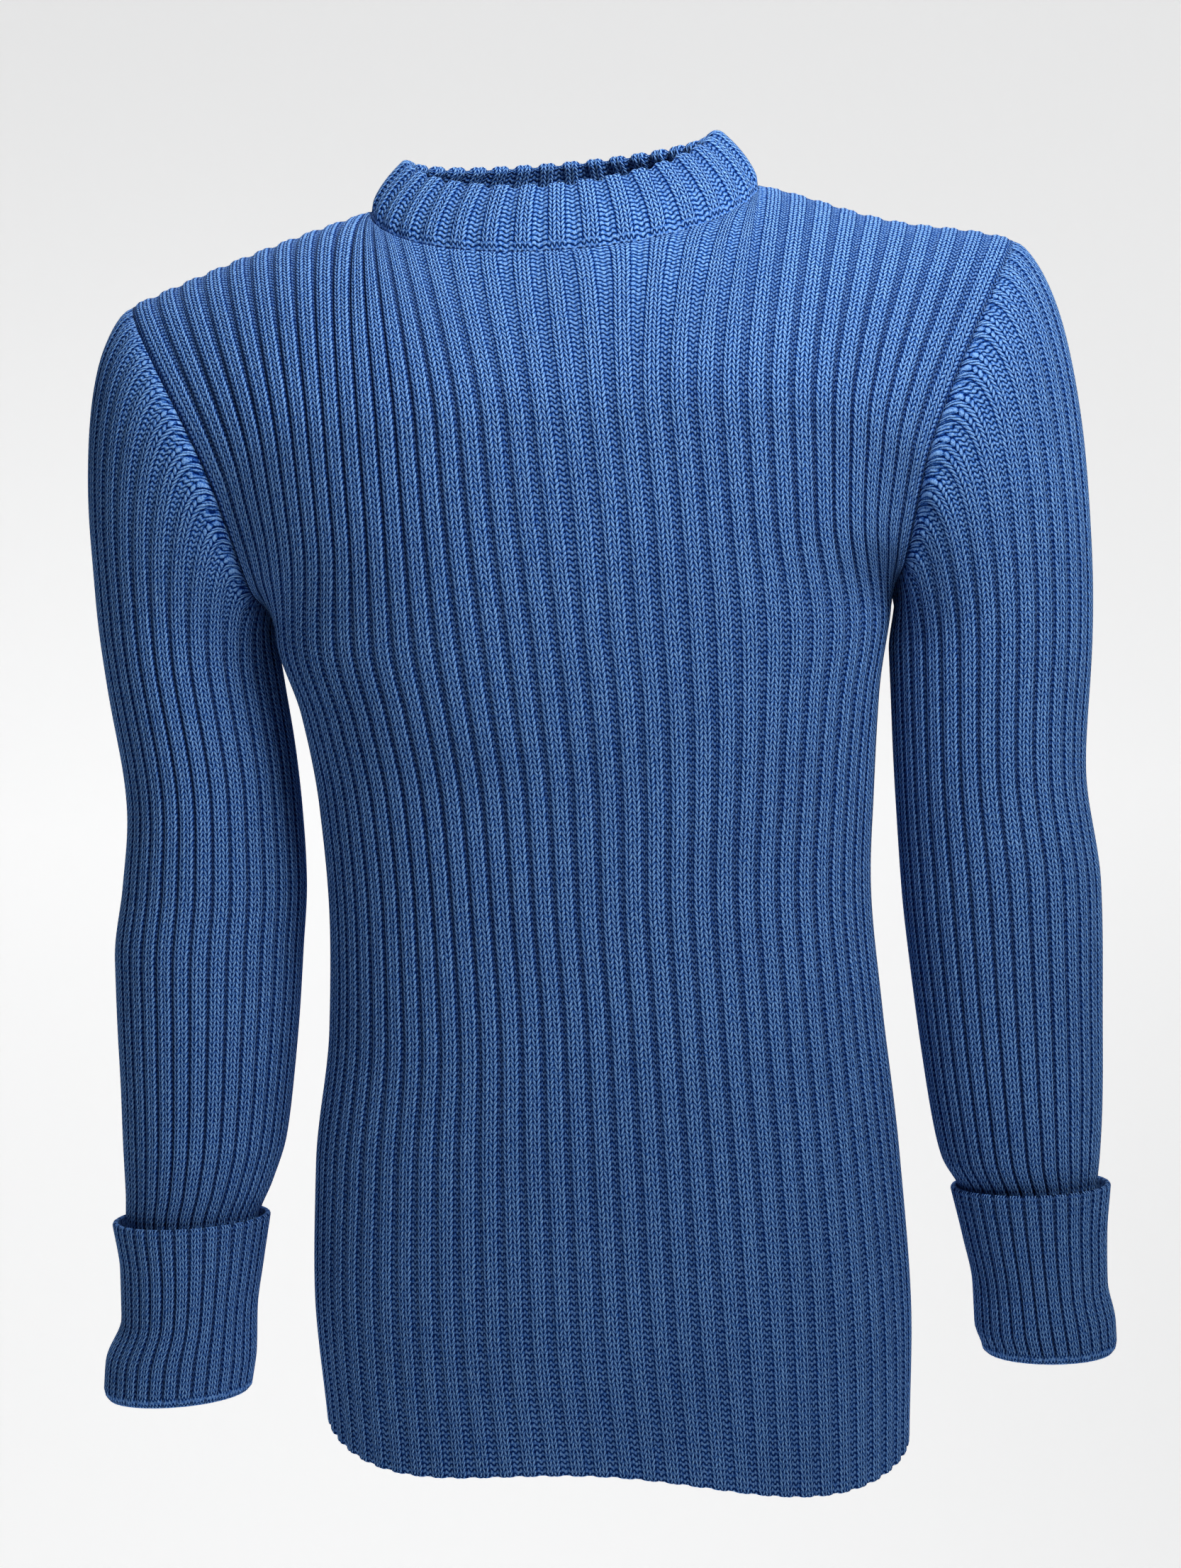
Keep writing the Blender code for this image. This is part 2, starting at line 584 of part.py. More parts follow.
def make_piece(name, loop, wraps, colour, collection, outward_loop=True, ends=None):
    """Makes a closed wall from a loop of rows: over the outside and back along the inside.

    A piece that doesn't wrap round is closed at each side by faces between the rows that ends pairs up.
    """
    starts = np.concatenate([[0], np.cumsum([len(row) for row in loop])])
    numbers = [np.arange(a, b) for a, b in zip(starts[:-1], starts[1:])]
    faces = []
    for first, second in zip(numbers, numbers[1:] + numbers[:1]):
        faces += strip(first, second, wraps)
    for low, high, low_in, high_in in ends or ():
        faces.append((numbers[low][0], numbers[high][0], numbers[high_in][0], numbers[low_in][0]))
        faces.append((numbers[low][-1], numbers[low_in][-1], numbers[high_in][-1], numbers[high][-1]))
    if not outward_loop:
        faces = [face[::-1] for face in faces]
    points = tilt_shoulders(np.concatenate(loop))
    mesh = bpy.data.meshes.new(name)
    mesh.from_pydata(points.tolist(), [], [tuple(int(i) for i in face) for face in faces])
    mesh.materials.append(wool(name, colour))
    mesh.shade_smooth()
    piece = bpy.data.objects.new(name, mesh)
    collection.objects.link(piece)
    return piece


def wool(name, colour):
    material = bpy.data.materials.new(f"{name}_wool")
    material.use_nodes = True
    finish = material.node_tree.nodes["Principled BSDF"]
    finish.inputs["Base Color"].default_value = (*colour, 1.0)
    finish.inputs["Roughness"].default_value = 0.9
    finish.inputs["Metallic"].default_value = 0.0
    return material


def ribbed(cloth, row, depths):
    """A row of the outside, its gutters sunk below the tops of the ribs."""
    return cloth.points[row] + cloth.inset[row] - cloth.way_out[row] * depths[:, None]


def plain(cloth, row, step):
    """A row of the inside, with one point for each step along the outside's."""
    return (cloth.points[row] + cloth.inset[row] - cloth.way_out[row] * WALL)[::step]


def make_panel(name, panel, collection):
    rows = len(panel.points)
    step = 1 + len(RIB_TOP)
    loop = [ribbed(panel, row, panel.depths) for row in range(rows)]
    loop.append(plain(panel, rows - 1, 1))
    loop += [plain(panel, row, step) for row in range(rows - 2, -1, -1)]
    ends = [(row, row + 1, 2 * rows - 1 - row, 2 * rows - 2 - row) for row in range(rows - 1)]
    return make_piece(name, loop, False, KNIT_BLUE, collection, panel.side < 0, ends)


def make_sleeve(name, sleeve, mirror, collection):
    rows = len(sleeve.points)
    loop = [ribbed(sleeve, row, sleeve.depths) for row in range(rows)]
    loop += [plain(sleeve, row, 2) for row in range(rows - 1, 0, -1)]
    loop.append(plain(sleeve, 0, 1))
    return make_piece(name, loop, True, KNIT_BLUE, collection, mirror)


def make_neckband(name, band, collection):
    """Up the outside, over the round rim, and down the inside."""
    way = band.way_out
    depth = band.depths[:, None]
    outer = [band.outside[0] + band.base_inset - way[0] * depth]
    outer += [band.outside[row] - way[row] * depth for row in (1, 2)]
    inner = [band.outside[row] - way[row] * (BAND_WALL - depth) for row in (2, 1)]
    inner.append(band.outside[0] + band.base_inset - way[0] * (BAND_WALL - depth))
    rise = unit(band.outside[2] - band.outside[1])
    centre = band.outside[2] - way[2] * BAND_WALL / 2
    radius = BAND_WALL / 2 - depth
    rim = [centre + (way[2] * np.cos(turn) + rise * np.sin(turn)) * radius for turn in np.radians(RIM_TURNS)]
    return make_piece(name, outer + rim + inner, True, BAND_BLUE, collection, outward_loop=True)


def shrunk(ring, wall, rise=0.0):
    """A ring drawn in by a wall, and raised."""
    return Ring(ring.z + rise, ring.centre_x, ring.centre_y, ring.half_x - wall, ring.half_y - wall)


def make_cuff(name, outside, sleeve_end, mirror, collection):
    """Down the outside, round the fold, up the inside, and down and up again between the two layers."""
    turn, depths = sleeve_turns()
    flip = np.array([-1.0 if mirror else 1.0, 1.0, 1.0])
    fine = np.stack([np.cos(turn), -np.sin(turn), np.zeros_like(turn)], axis=1)
    loop = [ring_points(ring, turn) - fine * depths[:, None] for ring in outside]
    last = outside[-1]
    coarse = turn[::2]
    fold = shrunk(last, FOLD_WALL + CUFF_LAYER_GAP / 2, -FOLD_DROP)
    loop.append(ring_points(fold, coarse))
    both = 2 * FOLD_WALL + CUFF_LAYER_GAP
    end_z = sleeve_end.z - SEAM_GAP
    top = Ring(end_z, sleeve_end.centre_x, sleeve_end.centre_y, sleeve_end.half_x, sleeve_end.half_y)
    inside_top = shrunk(top, WALL)
    inner = [shrunk(ring, both) for ring in reversed(outside[2:])]
    loop += [ring_points(ring, coarse) for ring in inner]
    loop.append(ring_points(inside_top, turn))
    loop.append(ring_points(top, turn) - fine * depths[:, None])
    loop += [ring_points(shrunk(ring, FOLD_WALL + CUFF_LAYER_GAP), coarse) for ring in outside[2:-1]]
    loop.append(ring_points(shrunk(last, FOLD_WALL + CUFF_LAYER_GAP / 2), coarse))
    loop += [ring_points(shrunk(ring, FOLD_WALL), coarse) for ring in reversed(outside[:-1])]
    loop = [row * flip for row in loop]
    return make_piece(name, loop, True, BAND_BLUE, collection, mirror)


def main():
    for thing in list(bpy.data.objects):
        bpy.data.objects.remove(thing, do_unlink=True)
    collection = bpy.data.collections.new(COLLECTION)
    bpy.context.scene.collection.children.link(collection)
    front, back = Panel(-1), Panel(1)
    sleeve_left = Sleeve(front, back, SLEEVE_LEFT, mirror=False)
    sleeve_right = Sleeve(front, back, SLEEVE_RIGHT, mirror=True)
    share_side_seams(front, back)
    band = Neckband(front, back)
    share_shoulder_seams(front, back)
    make_panel("front", front, collection)
    make_panel("back", back, collection)
    make_sleeve("sleeve_left", sleeve_left, False, collection)
    make_sleeve("sleeve_right", sleeve_right, True, collection)
    make_neckband("collar", band, collection)
    make_cuff("cuff_left", CUFF_LEFT, SLEEVE_LEFT[-1], False, collection)
    make_cuff("cuff_right", CUFF_RIGHT, SLEEVE_RIGHT[-1], True, collection)


main()
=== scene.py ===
"""Army sweater: the looks of a crew-neck jumper knitted all over in a wide two-by-two rib.

Each piece of cloth is a closed shell over its CAD solid: an outside whose ribs are pairs of knitted columns
with a gutter between them, and a plainer, coarser inside. The surfaces are the CAD's own lofts, worked out on
finer grids. The stitches are in the material, which follows each piece's UV map: u counts ribs and v courses.
"""

import logging
from dataclasses import dataclass, field, replace
from enum import Enum
from typing import NamedTuple, Optional, Sequence, Union

import bpy
import numpy as np
from mathutils import Matrix, Vector


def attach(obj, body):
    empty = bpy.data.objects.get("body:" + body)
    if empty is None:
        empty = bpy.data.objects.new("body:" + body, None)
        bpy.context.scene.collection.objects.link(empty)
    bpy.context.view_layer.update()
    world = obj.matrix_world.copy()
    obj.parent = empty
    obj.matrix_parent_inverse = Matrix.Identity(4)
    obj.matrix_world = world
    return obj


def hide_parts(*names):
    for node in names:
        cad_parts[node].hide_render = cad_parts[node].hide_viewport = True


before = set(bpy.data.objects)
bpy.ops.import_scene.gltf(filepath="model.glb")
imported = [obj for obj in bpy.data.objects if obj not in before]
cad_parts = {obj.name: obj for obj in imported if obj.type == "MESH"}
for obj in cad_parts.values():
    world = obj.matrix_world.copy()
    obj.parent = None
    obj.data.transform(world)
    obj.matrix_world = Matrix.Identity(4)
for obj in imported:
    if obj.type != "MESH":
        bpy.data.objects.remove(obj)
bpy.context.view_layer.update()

LOG = logging.getLogger("army_sweater")
Array = np.ndarray
Socket = bpy.types.NodeSocket
Value = Union[Socket, float, tuple]  # what a node's input takes: another's output, or a plain value

BODY_NAME = "root"
TINY = 1e-9
CURVE_STEPS = 240  # steps of the fine curves that points are measured along
CALM_REACH = 0.03  # distance from a seam or edge, in metres, over which the unevenness fades in


class Side(Enum):
    """The two panels of the body, by the sign of their Y."""

    FRONT = -1
    BACK = 1


class Arm(Enum):
    """The wearer's arms, by the sign of their X."""

    LEFT = 1
    RIGHT = -1


class Section(NamedTuple):
    """A level section of the body, from the tops of the ribs of one panel."""

    mid_z: float
    edge_z: float
    centre_x: float
    half_width: float
    edge_y: float
    front_y: float
    back_y: float
    wrap: float
    even: float
    dip: float
    lean: float
    drift: float


class Ring(NamedTuple):
    """An ellipse round an arm."""

    z: float
    centre_x: float
    centre_y: float
    half_x: float
    half_y: float


@dataclass(frozen=True)
class Cloth:
    """Thicknesses of the knit and of its seams, in metres."""

    wall: float = 0.0036
    band_wall: float = 0.0066
    fold_wall: float = 0.0031
    seam_gap: float = 0.00012
    course: float = 0.00285
    seam_sink: float = 0.0012
    seam_reach: float = 0.0035
    seam_blend: float = 0.010


@dataclass(frozen=True)
class RibProfile:
    """One rib across: a gutter at 0 and 1, and between them two knit columns with a shallow groove.

    places are where its points lie and depths how far each is sunk, as a share of the rib's whole depth. The
    two columns are as wide as pair where the pitch is relaxed. Where the cloth is stretched wider they give
    by the power widen, and the gutter takes the rest. A stretched rib is also flatter.
    """

    places: tuple = (0.0, 0.11, 0.19, 0.32, 0.42, 0.50, 0.58, 0.68, 0.81, 0.89)
    depths: tuple = (1.0, 0.90, 0.34, 0.0, 0.06, 0.24, 0.06, 0.0, 0.34, 0.90)
    gutter_end: float = 0.16
    pair: float = 0.0090
    least_gutter: float = 0.12
    most_gutter: float = 0.50
    closed_depth: float = 0.0022
    open_depth: float = 0.0012
    relaxed: float = 0.0095
    widen: float = 0.0

    def gutter(self, pitch: Array) -> Array:
        """Share of a rib that its gutter takes: what its pair of columns leaves of the pitch.

        Args:
            pitch: distance from gutter to gutter, in metres.

        Returns:
            The gutter's share, kept between the least and the most.
        """
        pair = self.pair * (pitch / self.relaxed) ** self.widen
        return np.clip(1.0 - pair / pitch, self.least_gutter, self.most_gutter)

    def depth(self, gutter: Array) -> Array:
        """How deep a gutter of that share is, in metres: straight from closed to open with its openness."""
        return self.closed_depth + (self.open_depth - self.closed_depth) * self.openness(gutter)

    def openness(self, gutter: Array) -> Array:
        """0 where the gutter has its least share and 1 where it has its most."""
        return (gutter - self.least_gutter) / (self.most_gutter - self.least_gutter)

    def across(self, place: Array, left: Array, right: Array) -> Array:
        """Where a place of the pattern lies across a real rib, whose two gutters have their own shares.

        Each gutter's half is stretched to its share of the rib, and the columns take what is left.

        Args:
            place: places in the pattern, from 0 to 1.
            left: the gutter's share at the rib's start.
            right: the gutter's share at its end.

        Returns:
            Places across the rib, from 0 to 1.
        """
        end = self.gutter_end
        middle = left / 2 + (place - end) / (1 - 2 * end) * (1 - left / 2 - right / 2)
        first = place / end * left / 2
        last = 1 - (1 - place) / end * right / 2
        return np.where(place < end, first, np.where(place > 1 - end, last, middle))


CLOTH = Cloth()
BODY_RIB = RibProfile()
SLEEVE_RIB = RibProfile(pair=0.0080, most_gutter=0.34, relaxed=0.0090, widen=0.55)
BAND_RIB = RibProfile(pair=0.0088, closed_depth=0.0024, open_depth=0.0019)
BASE_STEPS = 6  # columns of the smooth surface for each rib, before they are spread over the rib's points
ROW_RATIO = 4  # rows of an outside for each row of its inside
COLUMN_RATIO = 5  # and columns
UP = np.array((0.0, 0.0, 1.0))


def unit(vectors: Array) -> Array:
    """Vectors of length 1 in the same directions."""
    return vectors / np.maximum(np.linalg.norm(vectors, axis=-1, keepdims=True), TINY)


def smooth_step(share: Array) -> Array:
    """0 below 0, 1 above 1, and between them the cubic 3s² - 2s³."""
    share = np.clip(share, 0.0, 1.0)
    return share * share * (3.0 - 2.0 * share)


def cubic(start: Array, start_pull: Array, end: Array, end_pull: Array, s: Array) -> Array:
    """The Hermite cubic: (2s³-3s²+1)·start + (s³-2s²+s)·start_pull + (3s²-2s³)·end + (s³-s²)·end_pull."""
    return (
        (2 * s**3 - 3 * s**2 + 1) * start
        + (s**3 - 2 * s**2 + s) * start_pull
        + (3 * s**2 - 2 * s**3) * end
        + (s**3 - s**2) * end_pull
    )


def hermite(start: Array, start_pull: Array, end: Array, end_pull: Array, share: Array) -> Array:
    """A cubic from start to end that leaves along start_pull and arrives along end_pull.

    Args:
        start: points where it starts, one row.
        start_pull: its derivative there.
        end: points where it ends.
        end_pull: its derivative there.
        share: how far along each new row is, from 0 to 1.

    Returns:
        One row of points for each share.
    """
    return cubic(start, start_pull, end, end_pull, np.asarray(share)[:, None, None])


def smooth_through(knots: Array, rows: Array, at: Array) -> Array:
    """Rows of points along a piecewise cubic through rows at knots.

    Its slopes are harmonic means of the rises beside each knot, so it doesn't overshoot.

    Args:
        knots: the parameter of each given row, rising.
        rows: the given rows of points.
        at: parameters of the new rows.

    Returns:
        The new rows.
    """
    steps = np.diff(knots)[:, None, None]
    rise = np.diff(rows, axis=0) / steps
    slopes = np.empty_like(rows)
    slopes[0], slopes[-1] = rise[0], rise[-1]
    before, after = rise[:-1], rise[1:]
    near, far = 2 * steps[1:] + steps[:-1], steps[1:] + 2 * steps[:-1]
    turning = before * after <= 0
    ratio = near / np.where(turning, 1.0, before) + far / np.where(turning, 1.0, after)
    slopes[1:-1] = np.where(turning, 0.0, (near + far) / ratio)
    at = np.asarray(at, dtype=float)
    cell = np.clip(np.searchsorted(knots, at, side="right") - 1, 0, len(knots) - 2)
    share = ((at - knots[cell]) / np.diff(knots)[cell])[:, None, None]
    span = steps[cell]
    return cubic(rows[cell], slopes[cell] * span, rows[cell + 1], slopes[cell + 1] * span, share)


def lengths_along(points: Array) -> Array:
    """Distance of each point of a line from its first, summed along it."""
    return np.concatenate([[0.0], np.cumsum(np.linalg.norm(np.diff(points, axis=0), axis=1))])


def grid_lengths(points: Array, axis: int) -> Array:
    """Distance of each point of a grid from the first of its column (axis 0) or its row (axis 1)."""
    steps = np.linalg.norm(np.diff(points, axis=axis), axis=2)
    return np.concatenate([np.zeros_like(np.take(steps, [0], axis)), np.cumsum(steps, axis=axis)], axis=axis)


def mean_lengths(rows: Array) -> Array:
    """Distance of each row of a grid from its first, as the mean over its columns."""
    steps = np.linalg.norm(np.diff(rows, axis=0), axis=2).mean(axis=1)
    return np.concatenate([[0.0], np.cumsum(steps)])


def at_distances(points: Array, values: Array, distances: Array) -> Array:
    """Values given at the points of a line, read straight between them at distances along it.

    Args:
        points: the line.
        values: one row of numbers for each of its points.
        distances: how far along the line to read them.

    Returns:
        One row of numbers for each distance.
    """
    along = lengths_along(points)
    return np.stack([np.interp(distances, along, values[:, i]) for i in range(values.shape[1])], axis=1)


def outward(points: Array, sign: float, wraps: bool) -> Array:
    """Unit normals of a grid of points: the cross product of its steps across and up, times sign.

    Args:
        points: the grid.
        sign: 1 or -1, whichever turns them out of the cloth.
        wraps: whether its rows are closed.

    Returns:
        One vector for each point.
    """
    up = np.gradient(points, axis=0)
    if wraps:
        across = np.roll(points, -1, axis=1) - np.roll(points, 1, axis=1)
    else:
        across = np.gradient(points, axis=1)
    return sign * unit(np.cross(across, up))


def shared_way(own: Array, other: Array) -> Array:
    """The way out of the cloth that two pieces share at a seam: halfway between their own."""
    return unit(own + other)


def away_from_seam(line: Array, inner: Array, way_out: Array, wraps: bool) -> Array:
    """Half a seam's gap at each point of its line, square to the seam and towards the next points in.

    Args:
        line: the seam's points.
        inner: the piece's next points in from it.
        way_out: the way out of the cloth along it.
        wraps: whether the line is closed.

    Returns:
        One short vector for each point.
    """
    if wraps:
        along = np.roll(line, -1, axis=0) - np.roll(line, 1, axis=0)
    else:
        along = np.gradient(line, axis=0)
    square = unit(np.cross(along, way_out))
    inwards = np.sign((square * (inner - line)).sum(axis=-1, keepdims=True))
    return square * inwards * CLOTH.seam_gap / 2


class SoftNoise:
    """Gentle unevenness of hand-handled cloth: a sum of sine waves with seeded directions and phases."""

    def __init__(self, seed: int, waves: int = 7, longest: float = 0.20, shortest: float = 0.05) -> None:
        """Draws the waves.

        Args:
            seed: makes the same waves each run.
            waves: how many there are.
            longest: the longest wavelength, in metres.
            shortest: the shortest.
        """
        draw = np.random.default_rng(seed)
        lengths = np.geomspace(longest, shortest, waves)
        self.turns = unit(draw.normal(size=(waves, 3))) * (2.0 * np.pi / lengths)[:, None]
        self.phases = draw.uniform(0.0, 2.0 * np.pi, waves)
        self.sizes = lengths / lengths.sum()

    def at(self, points: Array) -> Array:
        """The noise at points, about -1 to 1: each wave's size times the sine of its turn along the point."""
        return (np.sin(points @ self.turns.T + self.phases) * self.sizes).sum(axis=-1)


@dataclass
class NeckAndShoulders:
    """Sizes of the neck hole and the shoulder seams, and the tilt that the wearer's stance gives them."""

    ribs: int = 8
    panel_ribs: int = 36
    half: float = 0.106
    front_y: float = -0.075
    side_z: float = 0.004
    front_z: float = -0.039
    back_y: float = 0.072
    back_z: float = 0.006
    square: float = 2.2
    dip: float = 1.2
    spread: float = 1.15
    drift: float = 0.100
    shoulder_x: float = 0.240
    shoulder_z: float = -0.0395
    arch: float = 0.002
    tilt: float = 0.008
    left_point_lift: float = 0.005
    left_sag: float = 0.006
    tilt_from_z: float = -0.25
    tilt_full_z: float = -0.05

    @property
    def share(self) -> float:
        """Share of a panel's half width whose ribs end at the neck."""
        return self.ribs * 2 / self.panel_ribs

    def neckline(self, side: Side, share: Array) -> Array:
        """The neck seam of a panel: a superellipse seen from above, which dips towards its middle.

        Args:
            side: the panel.
            share: places from the middle at 0 to the shoulder seam at 1 or -1.

        Returns:
            Points of the seam.
        """
        turn = np.linspace(0.0, np.pi / 2, CURVE_STEPS + 1)
        power = 2.0 / self.square
        deep = np.maximum(np.cos(turn), 0.0) ** power
        y, z = (self.front_y, self.front_z) if side is Side.FRONT else (self.back_y, self.back_z)
        height = self.side_z + (z - self.side_z) * deep**self.dip
        curve = np.stack([self.half * np.sin(turn) ** power, y * deep, height], axis=1)
        distances = np.abs(share) ** self.spread * lengths_along(curve)[-1]
        points = at_distances(curve, curve, distances)
        points[:, 0] *= np.sign(share)
        return points

    def top_seam(self, side: Side, across: Array) -> Array:
        """The upper edge of a panel: the neckline in the middle, and a slightly arched shoulder beside it.

        Args:
            side: the panel.
            across: places over the panel, from -1 to 1.

        Returns:
            Points of the edge.
        """
        share = np.clip(across / self.share, -1.0, 1.0)
        drift = self.drift / self.share if side is Side.FRONT else 0.0
        points = self.neckline(side, share - drift * (1.0 - share**2))
        out = np.clip((np.abs(across) - self.share) / (1.0 - self.share), 0.0, 1.0)
        points[:, 0] += np.sign(across) * (self.shoulder_x - self.half) * out
        points[:, 2] += (self.shoulder_z - self.side_z) * out + self.arch * np.sin(np.pi * out)
        return points

    def tilted(self, points: Array) -> Array:
        """The points with the wearer's left shoulder raised, by a share that fades out down the chest.

        Args:
            points: any number of points.

        Returns:
            As many, moved in Z only.
        """
        points = points.copy()
        share = smooth_step((points[..., 2] - self.tilt_from_z) / (self.tilt_full_z - self.tilt_from_z))
        out = np.clip((points[..., 0] - self.half) / (self.shoulder_x - self.half), 0.0, 1.0)
        lift = self.left_point_lift * smooth_step(out) - self.left_sag * np.sin(np.pi * out) ** 2
        points[..., 2] += (self.tilt * points[..., 0] + lift) * share
        return points


NECK = NeckAndShoulders()


@dataclass
class Fabric:
    """A grid of cloth, row by row up the piece: its points, its way out, and how it changes towards seams."""

    points: Array
    way_out: Array
    sink: Array
    inset: Array
    courses: Array
    ribs: Array
    depth: Array
    flat: Array
    opened: Array

    @staticmethod
    def smooth(points: Array, sign: float, wraps: bool) -> "Fabric":
        """A fabric on a smooth grid, with BASE_STEPS columns to each rib.

        Args:
            points: the grid.
            sign: turns its normals outwards.
            wraps: whether its rows are closed.

        Returns:
            The fabric, with v from the length of cloth up each column.
        """
        courses = grid_lengths(points, 0) / CLOTH.course
        sink, ribs, depth, flat, opened = (np.zeros(points.shape[:2]) for _ in range(5))
        way_out = outward(points, sign, wraps)
        return Fabric(points, way_out, sink, np.zeros_like(points), courses, ribs, depth, flat, opened)

    def draw_in(self, distance: Array, way_out: Array, sink: float, flat: float = 0.0) -> None:
        """Sinks the cloth towards a seam, as e^-(d/reach)², and turns its way out to the one shared there.

        Args:
            distance: of each point of the grid from the seam, in metres.
            way_out: the shared one, for each point of the grid or for the seam's nearest.
            sink: how deep the cloth sinks at the seam itself.
            flat: share of the ribs' relief that the seam takes away.
        """
        near = np.exp(-((distance / CLOTH.seam_reach) ** 2))
        self.sink = np.maximum(self.sink, sink * near)
        self.flat = np.maximum(self.flat, flat * near)
        turn = np.exp(-((distance / CLOTH.seam_blend) ** 2))[..., None]
        self.way_out = unit(self.way_out * (1.0 - turn) + way_out * turn)

    def spread(self, count: int, rib: RibProfile, wraps: bool, loose: Array = np.ones((1, 1))) -> "Fabric":
        """The same cloth with the points of each rib where its real gutters put them.

        The pitch at each gutter is the mean of the ribs beside it, and its share follows the rib's rule.

        Args:
            count: how many ribs there are.
            rib: their profile.
            wraps: whether the rows are closed.
            loose: for each row, how much wider than its pitch the rule takes it to be.

        Returns:
            The finer fabric, with u, v and the depth of each point below the ribs' tops.
        """
        rows = len(self.points)
        closed = [np.concatenate([a, a[:, :1]], axis=1) if wraps else a for a in self.fields()]
        steps = np.linalg.norm(np.diff(closed[0], axis=1), axis=2)
        pitch = steps.reshape(rows, count, BASE_STEPS).sum(axis=2)
        if wraps:
            beside = np.concatenate([pitch[:, -1:], pitch, pitch[:, :1]], axis=1)
        else:
            beside = np.concatenate([pitch[:, :1], pitch, pitch[:, -1:]], axis=1)
        gutter = rib.gutter((beside[:, :-1] + beside[:, 1:]) / 2 * loose)
        place = np.array(rib.places)
        left, right = gutter[:, :-1, None], gutter[:, 1:, None]
        across = rib.across(place, left, right)
        deep = rib.depth(left + (right - left) * place) * np.array(rib.depths)
        at = ((np.arange(count)[:, None] + across) * BASE_STEPS).reshape(rows, -1)
        u = (np.arange(count)[:, None] + place).ravel()
        deep = deep.reshape(rows, -1)
        opened = rib.openness(left + (right - left) * place).reshape(rows, -1)
        if not wraps:
            opened = np.concatenate([opened, rib.openness(gutter[:, -1:])], axis=1)
            at = np.concatenate([at, np.full((rows, 1), count * BASE_STEPS)], axis=1)
            u = np.append(u, count)
            deep = np.concatenate([deep, rib.depth(gutter[:, -1:])], axis=1)
        low = np.clip(np.floor(at).astype(int), 0, count * BASE_STEPS - 1)
        part = at - low
        row = np.arange(rows)[:, None]
        read = []
        for values in closed:
            share = part[..., None] if values.ndim == 3 else part
            read.append(values[row, low] * (1.0 - share) + values[row, low + 1] * share)
        points, way_out, inset, sink, courses, flat = read
        ribs = np.broadcast_to(u, deep.shape)
        deep = deep * (1.0 - flat) + flat * rib.open_depth / 2
        return Fabric(points, unit(way_out), sink, inset, courses, ribs, deep, flat, opened)

    def fields(self) -> list:
        """Its arrays that lie on the smooth grid, in the order that spread reads them."""
        return [self.points, self.way_out, self.inset, self.sink, self.courses, self.flat]

    def outside(self) -> Array:
        """Points of the outside, each sunk by its own depth and by its seam's."""
        return self.points + self.inset - self.way_out * (self.depth + self.sink)[..., None]

    def inside(self, wall: float) -> Array:
        """Points of the inside: a wall below the ribs' tops, less half of the outside's rise there."""
        raised = (self.depth.max() - self.depth) / 2
        return self.points + self.inset - self.way_out * (wall - raised + self.sink / 2)[..., None]

    def uv(self) -> Array:
        """Three numbers for each point: u in ribs, v in courses, and how open the cloth's gutters are."""
        return np.stack([self.ribs, self.courses, self.opened], axis=-1)


